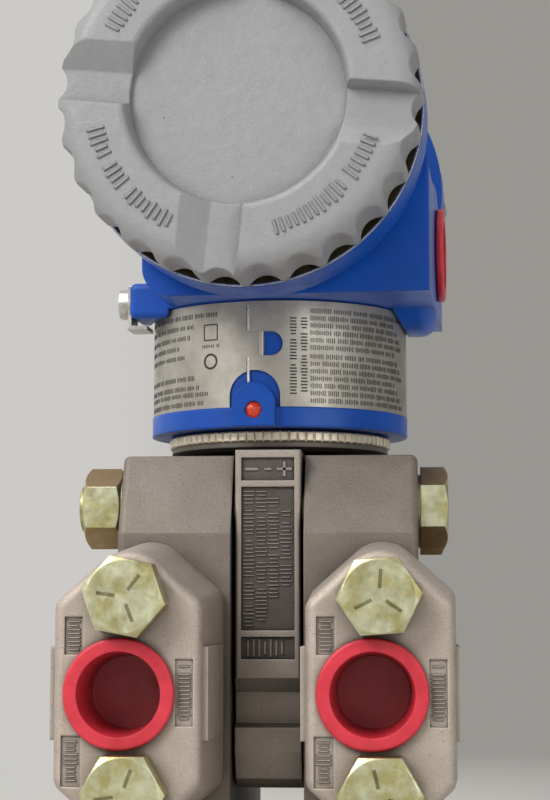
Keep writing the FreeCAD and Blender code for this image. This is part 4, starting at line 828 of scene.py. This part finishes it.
@dataclass
class Connector:
    """One process connector with its bolts, seal and shipping plug."""

    side: str
    bolts: tuple[int, int]
    body: str = "measuring_end"
    recess: float = 0.6 * MM
    stroke: float = 0.4 * MM
    stamp: Bar = (3.7 * MM, 0.0, 2.0 * MM, 0.38 * MM)
    recesses: tuple[Bar, ...] = (
        (-13.5, 8.3, -9.6, 16.4), (-14.1, -19.6, -9.9, -8.8), (10.4, -6.8, 14.2, 7.4))

    def build(self) -> None:
        """Dress the nodes and add the marks."""
        dress([f"{self.side}_connector"], Look.CAST)
        dress([f"connector_bolt_{number}" for number in self.bolts], Look.ZINC)
        dress([f"{self.side}_connector_seal"], Look.RUBBER)
        dress([f"{self.side}_port_plug"], Look.RED)
        self.marks()
        for number in self.bolts:
            self.bolt_marks(number)

    def marks(self) -> None:
        """Plain raised strokes in the three recesses of the front face."""
        low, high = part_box(f"{self.side}_connector")
        middle, front = (low.x + high.x) / 2, low.y + self.recess
        rows = []
        for index, (x0, z0, x1, z1) in enumerate(self.recesses):
            across, span = (x0 + x1) / 2 * MM + middle, (z1 - z0) * MM
            rows.append(line_of_strokes(z0 * MM + 0.08 * span, z1 * MM - 0.08 * span, across,
                                        (x1 - x0) * 0.74 * MM, self.stroke, 31 + index)
                        [:, [1, 0, 3, 2]])
        front_marks(f"{self.side}_connector_marks",
                    low_blocks(np.concatenate(rows), 0.42 * MM, 0.1 * MM), front,
                    Look.FACE_MARK, self.body)

    def bolt_marks(self, number: int) -> None:
        """Three stamped strokes on a bolt's head, pointing to its middle.

        One stroke (u, v) is turned by three angles t to (u cos t - v sin t, u sin t + v cos t).

        Args:
            number: the bolt's number.
        """
        low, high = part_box(f"connector_bolt_{number}")
        points, quads = low_blocks(np.array([self.stamp]), 0.04 * MM, 0.02 * MM)
        turns = np.radians(np.array([35.0, 155.0, 275.0]) + 17 * number)[:, None]
        along, aside = points[None, :, 0], points[None, :, 1]
        u = (low.x + high.x) / 2 + along * np.cos(turns) - aside * np.sin(turns)
        v = (low.z + high.z) / 2 + along * np.sin(turns) + aside * np.cos(turns)
        w = np.broadcast_to(points[None, :, 2], u.shape)
        every = (quads[None] + 8 * np.arange(len(turns))[:, None, None]).reshape(-1, 4)
        front_marks(f"bolt_marks_{number}", (np.stack([u, v, w], axis=-1).reshape(-1, 3), every),
                    low.y, Look.STAMP, self.body)


@dataclass
class NeckPlate:
    """Data plate round the housing's neck: its print and the lock screw's lacquer."""

    body: str = "topworks"
    radius: float = 32.6 * MM
    lap: float = 0.45 * MM
    film: float = 0.035 * MM
    ticks: float = 0.24 * MM
    right_rows: tuple[float, ...] = (22.9, 21.1, 19.3, 17.5, 15.7, 13.9, 11.7, 9.9, 8.1, 6.3,
                                     4.5, 2.7, 0.9)
    left_rows: tuple[Pair, ...] = (
        (22.6, -13.2), (20.0, -19.5), (17.4, -20.5), (15.0, -23.5), (12.6, -22.0),
        (7.2, -18.8), (4.8, -18.0), (3.1, -15.6), (0.9, -16.4))

    def build(self) -> None:
        """Dress the plate and the fittings, then add print and lacquer."""
        dress(["data_plate"], Look.PLATE)
        dress(["lock_screw"], Look.LACQUER)
        dress(["ground_screw", "ground_clamp"], Look.STAINLESS)
        self.print_right()
        self.print_left()
        self.lap_edge()
        self.lacquer()

    def wrap(self, points: Array, lapped: bool) -> Array:
        """Lay a flat sheet of print round the plate.

        A point (s, h, w) goes to the turn t = s / R about the neck axis, at the radius
        R + w and the height h above the plate's lower edge. On the lapped leaf the circle's
        centre stands half a sheet further forward.

        Args:
            points: s along the plate from its front, h up it and w out of it.
            lapped: whether it lies on the outer leaf.

        Returns:
            The points in place.
        """
        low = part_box("data_plate")[0].z
        radius = self.radius + (self.lap / 2 if lapped else 0.0)
        ahead = self.lap / 2 if lapped else 0.0
        turn = points[:, 0] / radius
        out = radius + points[:, 2]
        return swing(np.stack([out * np.sin(turn), NECK_Y - ahead - out * np.cos(turn),
                               low + points[:, 1]], axis=1))

    def angle_of(self, across: float) -> float:
        """Distance along the plate, in metres, to what stands so many millimetres to the right."""
        level = max(-0.999, min(0.999, across * MM / self.radius))
        return self.radius * (math.asin(level) - SWIVEL)

    def lay(self, name: str, sizes: Array, lapped: bool) -> None:
        """Print a set of bars on the plate.

        Args:
            name: the piece's name.
            sizes: one row per bar: s, h, half width and half height.
            lapped: whether they lie on the outer leaf.
        """
        points, quads = low_blocks(sizes, self.film, 0.0)
        points[:, 2] -= 0.01 * MM
        make_piece(name, self.wrap(points, lapped), quads, Look.INK, self.body)

    def print_right(self) -> None:
        """Two columns of upright print and thirteen rows, as plain strokes."""
        first, last = self.angle_of(9.6), self.angle_of(31.4)
        rows = []
        for index, level in enumerate(self.right_rows):
            end = first + (last - first) * (1.0 - 0.05 * (index * 7 % 4))
            rows.append(line_of_strokes(first, end, (level + 0.6) * MM, 1.25 * MM, self.ticks,
                                        50 + index))
        for index, across in enumerate((5.6, 8.2)):
            column = line_of_strokes(2.8 * MM + index * 0.6 * MM, 22.0 * MM, self.angle_of(across),
                                     1.7 * MM, 0.36 * MM, 70 + index)
            rows.append(column[:, [1, 0, 3, 2]])
        self.lay("plate_print_right", np.concatenate(rows), True)

    def print_left(self) -> None:
        """Nine rows of strokes, a plain square with a short row below it, and a ring."""
        first = self.angle_of(-32.0)
        rows = [line_of_strokes(first, self.angle_of(end), (level + 0.6) * MM, 1.25 * MM,
                                self.ticks, 90 + index)
                for index, (level, end) in enumerate(self.left_rows)]
        middle = self.angle_of(-15.0)
        rows.append(self.square(middle, 18.8 * MM, 1.9 * MM, 0.16 * MM))
        rows.append(line_of_strokes(middle - 2.6 * MM, middle + 2.6 * MM, 15.4 * MM, 0.9 * MM,
                                    self.ticks, 120))
        self.lay("plate_print_left", np.concatenate(rows), False)
        self.ring(middle, 11.6 * MM, 2.0 * MM, 1.45 * MM)

    @staticmethod
    def square(middle: float, level: float, half: float, line: float) -> Array:
        """The outline of a square: two posts, and two rails of four bars that follow the bend.

        Args:
            middle: how far along the plate its centre is.
            level: its centre above the plate's lower edge.
            half: half its side.
            line: half the width of its line.

        Returns:
            One row per bar: s, h, half width and half height.
        """
        step = half / 4
        across = middle - half + step * (2 * np.arange(4) + 1)
        rails = [np.stack([across, np.full(4, level + side * half), np.full(4, step),
                           np.full(4, line)], axis=1) for side in (-1, 1)]
        posts = np.array([(middle - half, level, line, half), (middle + half, level, line, half)])
        return np.concatenate([posts] + rails)

    def lap_edge(self) -> None:
        """Painted highlight along the outer leaf's sheared edge, above and below its slot.

        Painted shadow: a thin dark line beside it on the under leaf.
        """
        edge = -3.8 * MM
        spans = [(0.4 * MM, 12.1 * MM), (18.7 * MM, 25.5 * MM)]
        # Painted highlight: bright strips on the outer leaf along its edge.
        sizes = np.array([(edge + 0.3 * MM, (low + high) / 2, 0.28 * MM, (high - low) / 2)
                          for low, high in spans])
        points, quads = low_blocks(sizes, 0.04 * MM, 0.0)
        make_piece("plate_lap_highlight", self.wrap(points, True), quads, Look.SHEARED, self.body)
        # Painted shadow: a thin dark line on the under leaf, beside the edge.
        sizes[:, 0] -= 0.42 * MM
        sizes[:, 2] = 0.10 * MM
        points, quads = low_blocks(sizes, 0.03 * MM, 0.0)
        make_piece("plate_lap_painted_shadow", self.wrap(points, False), quads, Look.INK, self.body)

    def ring(self, middle: float, level: float, outer: float, inner: float) -> None:
        """A printed ring.

        With t the turn, its points are the middle plus r cos(t) along the plate and r sin(t)
        up it, at the outer and inner radius, above and below the film.

        Args:
            middle: how far along the plate its centre is.
            level: its centre above the plate's lower edge.
            outer: its outer radius.
            inner: its inner radius.
        """
        turn = np.linspace(0, 2 * np.pi, 40, endpoint=False)
        section = [(inner, -0.01 * MM), (outer, -0.01 * MM), (outer, self.film - 0.01 * MM),
                   (inner, self.film - 0.01 * MM)]
        points = np.concatenate([
            np.stack([middle + r * np.cos(turn), level + r * np.sin(turn),
                      np.full(turn.shape, w)], axis=1) for r, w in section])
        make_piece("plate_ring", self.wrap(points, False),
                   grid_quads(4, len(turn))[:, ::-1], Look.INK, self.body)

    def lacquer(self) -> None:
        """Blob of red lacquer over the lock screw.

        A dome: at the share q of the radius, height falls as 1 - q ** 2.4, and both the rim
        and the height waver with the turn.
        """
        low, high = square_box("lock_screw")
        centre = Vector(((low[0] + high[0]) / 2, low[1] + 0.2 * MM, (low[2] + high[2]) / 2))
        turn = np.linspace(0, 2 * np.pi, 48, endpoint=False)[None, :]
        share = np.linspace(0.0, 1.0, 10)[:, None]
        rim = 2.35 * MM * (1 + 0.07 * np.sin(3 * turn + 0.7) + 0.04 * np.sin(7 * turn))
        radius = np.maximum(share, 0.001) * rim
        height = 0.95 * MM * (1 - share ** 2.4) * (1 + 0.16 * np.sin(2 * turn + 1) * share
                                                   + 0.1 * np.sin(5 * turn) * share)
        points = np.stack([centre.x + radius * np.cos(turn), centre.y - height,
                           centre.z + radius * np.sin(turn)], axis=-1).reshape(-1, 3)
        make_piece("lock_lacquer", swing(points), grid_quads(10, 48, False), Look.LACQUER,
                   self.body, smooth=True)


@dataclass
class Housing:
    """Painted housing with rings on its ends, the covers, inner pieces and conduit plug."""

    body: str = "topworks"
    # Radii of the near-black ring on each end: the machined face darkened as painted shadow.
    shadowed_face_radii: Pair = (37.1 * MM, 40.55 * MM)
    rim: Pair = (40.75 * MM, 41.1 * MM)

    def build(self) -> None:
        """Dress the nodes and add two rings on each end face."""
        dress(["housing"], Look.BLUE)
        dress(["conduit_plug"], Look.RED)
        dress(["electronics_module", "terminal_block"], Look.POTTED)
        dress(["module_screw_1", "module_screw_2", "block_screw_1", "block_screw_2"],
              Look.STAINLESS)
        dress([f"terminal_screw_{i}" for i in range(1, 4)], Look.BRASS)
        dress(["sensor_lead", "front_cover_seal", "rear_cover_seal"], Look.RUBBER)
        dress(["front_cover", "rear_cover"], Look.GREY)
        for end, axis in (("front", Axis.FRONT), ("rear", Axis.REAR)):
            # A near-black ring: the chromated machined face, darkened as painted shadow in the gap
            # under the cover's scallops; and a bright bare rim.
            self.end_ring(f"{end}_shaded_end_face", axis, self.shadowed_face_radii, Look.CHROMATE)
            self.end_ring(f"{end}_rubbed_rim", axis, self.rim, Look.SHEARED)

    def end_ring(self, name: str, axis: Axis, radii: Pair, look: Look) -> None:
        """Flat ring on the barrel's end, under the cover's rim.

        Args:
            name: the piece's name.
            axis: the direction that the end faces.
            radii: the ring's inner and outer radius.
            look: its finish.
        """
        low, high = square_box("housing")
        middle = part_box("front_cover")
        face = low[1] if axis is Axis.FRONT else high[1]
        centre = Vector((0.0, face, (middle[0].z + middle[1].z) / 2))
        inner, outer = radii
        profile = np.array([(inner, -0.02 * MM), (outer + 0.05 * MM, -0.02 * MM),
                            (outer, 0.05 * MM), (inner, 0.05 * MM)])
        points = swing(turned_surface(profile, centre, axis, 120))
        quads = grid_quads(120, 4)
        outward(make_piece(name, points, quads, look, self.body))


@dataclass
class FrontCover:
    """Raised marks round the front cover's ring, as plain strokes between the slots."""

    body: str = "front_lid"
    lift: float = 0.45 * MM
    stroke: float = 0.72 * MM
    arcs: tuple[Bar, ...] = (
        (18.0, 66.0, 32.2, 4.2), (104.0, 152.0, 32.0, 4.2), (192.0, 247.0, 32.4, 4.2),
        (285.0, 341.0, 32.2, 4.2))

    def build(self) -> None:
        """Lay rows of strokes on the ring.

        A stroke's point (s, h, w) goes to the radius R + h at the turn s / R from the +X side,
        and w out of the ring's face.
        """
        low, high = square_box("front_cover")
        middle = (low[2] + high[2]) / 2
        pieces, faces = [], []
        for index, (start, end, radius, tall) in enumerate(self.arcs):
            level = radius * MM
            sizes = line_of_strokes(math.radians(start) * level, math.radians(end) * level, 0.0,
                                    tall * MM, self.stroke, 140 + index)
            points, quads = low_blocks(sizes, self.lift, 0.12 * MM)
            turn, out = points[:, 0] / level, level + points[:, 1]
            pieces.append(np.stack([out * np.cos(turn), low[1] - points[:, 2] + 0.02 * MM,
                                    middle + out * np.sin(turn)], axis=1))
            faces.append(quads + sum(len(piece) for piece in pieces[:-1]))
        outward(make_piece("cover_marks", swing(np.concatenate(pieces)), np.concatenate(faces),
                           Look.GREY, self.body))


def outward(piece: bpy.types.Object) -> None:
    """Turn a closed piece's faces outwards.

    The signed volume of a closed mesh is a sixth of the sum of the triple products of its
    triangles' corners. If it is negative, every face is flipped.

    Args:
        piece: the piece.
    """
    mesh = piece.data
    mesh.calc_loop_triangles()
    corners = np.empty(len(mesh.loop_triangles) * 3, dtype=int)
    mesh.loop_triangles.foreach_get("vertices", corners)
    a, b, c = vertices_of(mesh)[corners.reshape(-1, 3).T]
    if np.einsum("ij,ij->", a, np.cross(b, c)) < 0:
        mesh.flip_normals()


# ---- studio

@dataclass
class Studio:
    """Pale floor and backdrop, soft lamps and the camera."""

    pale: Colour = (0.60, 0.59, 0.565)
    shade: Colour = (0.315, 0.305, 0.285)
    warm: Colour = (1.0, 0.985, 0.96)
    camera_at: tuple[float, float, float] = (0.03448, -0.52856, 0.01813)
    yaw: float = 0.0737
    pitch: float = 0.1102
    roll: float = 0.0005
    lens: float = 84.75

    def build(self) -> None:
        """Make the floor, world, lamps and camera."""
        self.world()
        self.floor()
        self.lamps()
        self.camera()
        bpy.context.scene.view_settings.view_transform = "Standard"

    def world(self) -> None:
        """Soft light from the left and above, and a pale backdrop that falls off rightwards."""
        world = bpy.data.worlds.new("studio")
        bpy.context.scene.world = world
        graph = Graph(world)
        axes = graph.node("ShaderNodeSeparateXYZ", {0: graph.coordinates.outputs["Generated"]})

        def ramp(axis: str, *numbers: float) -> Socket:
            """Map a direction's part along an axis smoothly from one range to another."""
            return graph.spread(axes.outputs[axis], *numbers, shape="SMOOTHSTEP")

        backdrop = graph.blend(ramp("X", -0.17, -0.01), self.pale, self.shade)
        seen = graph.node("ShaderNodeBackground", {"Color": backdrop})
        strength = graph.times(ramp("X", -0.9, 0.9, 0.78, 0.22), ramp("Z", -0.8, 0.6, 0.4, 1.2))
        strength = graph.times(strength, ramp("Y", -1.0, -0.6, 0.65, 1.0))
        light = graph.node("ShaderNodeBackground", {"Color": self.warm, "Strength": strength})
        path = graph.node("ShaderNodeLightPath")
        mix = graph.mix_shaders(path.outputs["Is Camera Ray"], light, seen)
        graph.close("ShaderNodeOutputWorld", mix)

    def floor(self) -> None:
        """Wide floor that keeps the object's shadow and fades into the backdrop.

        A polar grid: with t the turn, a point is (r cos t, r sin t) at the floor's height.
        """
        level = CAD_BOX[0][2]
        radii = np.array([0.001, 0.3, 0.8, 1.6, 3.2, 8.0])[:, None]
        turn = np.linspace(0, 2 * np.pi, 64, endpoint=False)[None, :]
        points = np.stack([radii * np.cos(turn), radii * np.sin(turn),
                           np.full((len(radii), 64), level - 0.0002)], axis=-1).reshape(-1, 3)
        mesh = bpy.data.meshes.new("floor")
        mesh.from_pydata(points.tolist(), [], grid_quads(len(radii), 64, False).tolist())
        mesh.materials.append(self.floor_material())
        floor = add_object("floor", mesh)

    def floor_material(self) -> Material:
        """Matt paper under the object that thins out to nothing further away."""
        graph = Graph.of_material("floor_paper")
        paper = graph.node("ShaderNodeBsdfDiffuse", {"Color": self.pale})
        clear = graph.node("ShaderNodeBsdfTransparent")
        reach = graph.node("ShaderNodeVectorMath", {0: graph.place}, operation="LENGTH")
        path = graph.node("ShaderNodeLightPath")
        far = graph.spread(reach.outputs["Value"], 0.12, 0.45)
        mix = graph.mix_shaders(graph.times(far, path.outputs["Is Camera Ray"]), paper, clear)
        return graph.close("ShaderNodeOutputMaterial", mix)

    def lamps(self) -> None:
        """A soft key lamp high at the front left, one above, and a low fill at the right."""
        target = Vector((0.0, -0.04, 0.05))
        for name, place, size, power in (
            ("key", (-0.72, -1.05, 0.85), 0.6, 12.0),
            ("top", (-0.30, -0.40, 1.15), 0.7, 4.0),
            ("fill", (0.80, -1.00, 0.30), 0.9, 4.4),
        ):
            data = bpy.data.lights.new(name, "AREA")
            data.size = size
            data.energy = power
            lamp = add_object(name, data)
            lamp.location = place
            lamp.rotation_euler = (target - Vector(place)).to_track_quat("-Z", "Y").to_euler()

    def camera(self) -> None:
        """Camera in front and a little to the right, looking slightly up."""
        data = bpy.data.cameras.new("camera")
        data.sensor_width = 36.0
        data.lens = self.lens
        data.clip_start, data.clip_end = 0.01, 50.0
        camera = add_object("camera", data)
        turn = (Matrix.Rotation(self.yaw, 4, "Z")
                @ Matrix.Rotation(math.pi / 2 + self.pitch, 4, "X")
                @ Matrix.Rotation(-self.roll, 4, "Z"))
        camera.matrix_world = Matrix.Translation(self.camera_at) @ turn
        bpy.context.scene.camera = camera


def main() -> None:
    """Build the sub-assemblies in order, then the studio."""
    logging.basicConfig(level=logging.INFO, format="%(message)s")
    for part in (MeasuringEnd(), Connector("low", (1, 2)), Connector("high", (3, 4)),
                 NeckPlate(), Housing(), FrontCover(), Studio()):
        part.build()


if __name__ == "__main__":
    main()
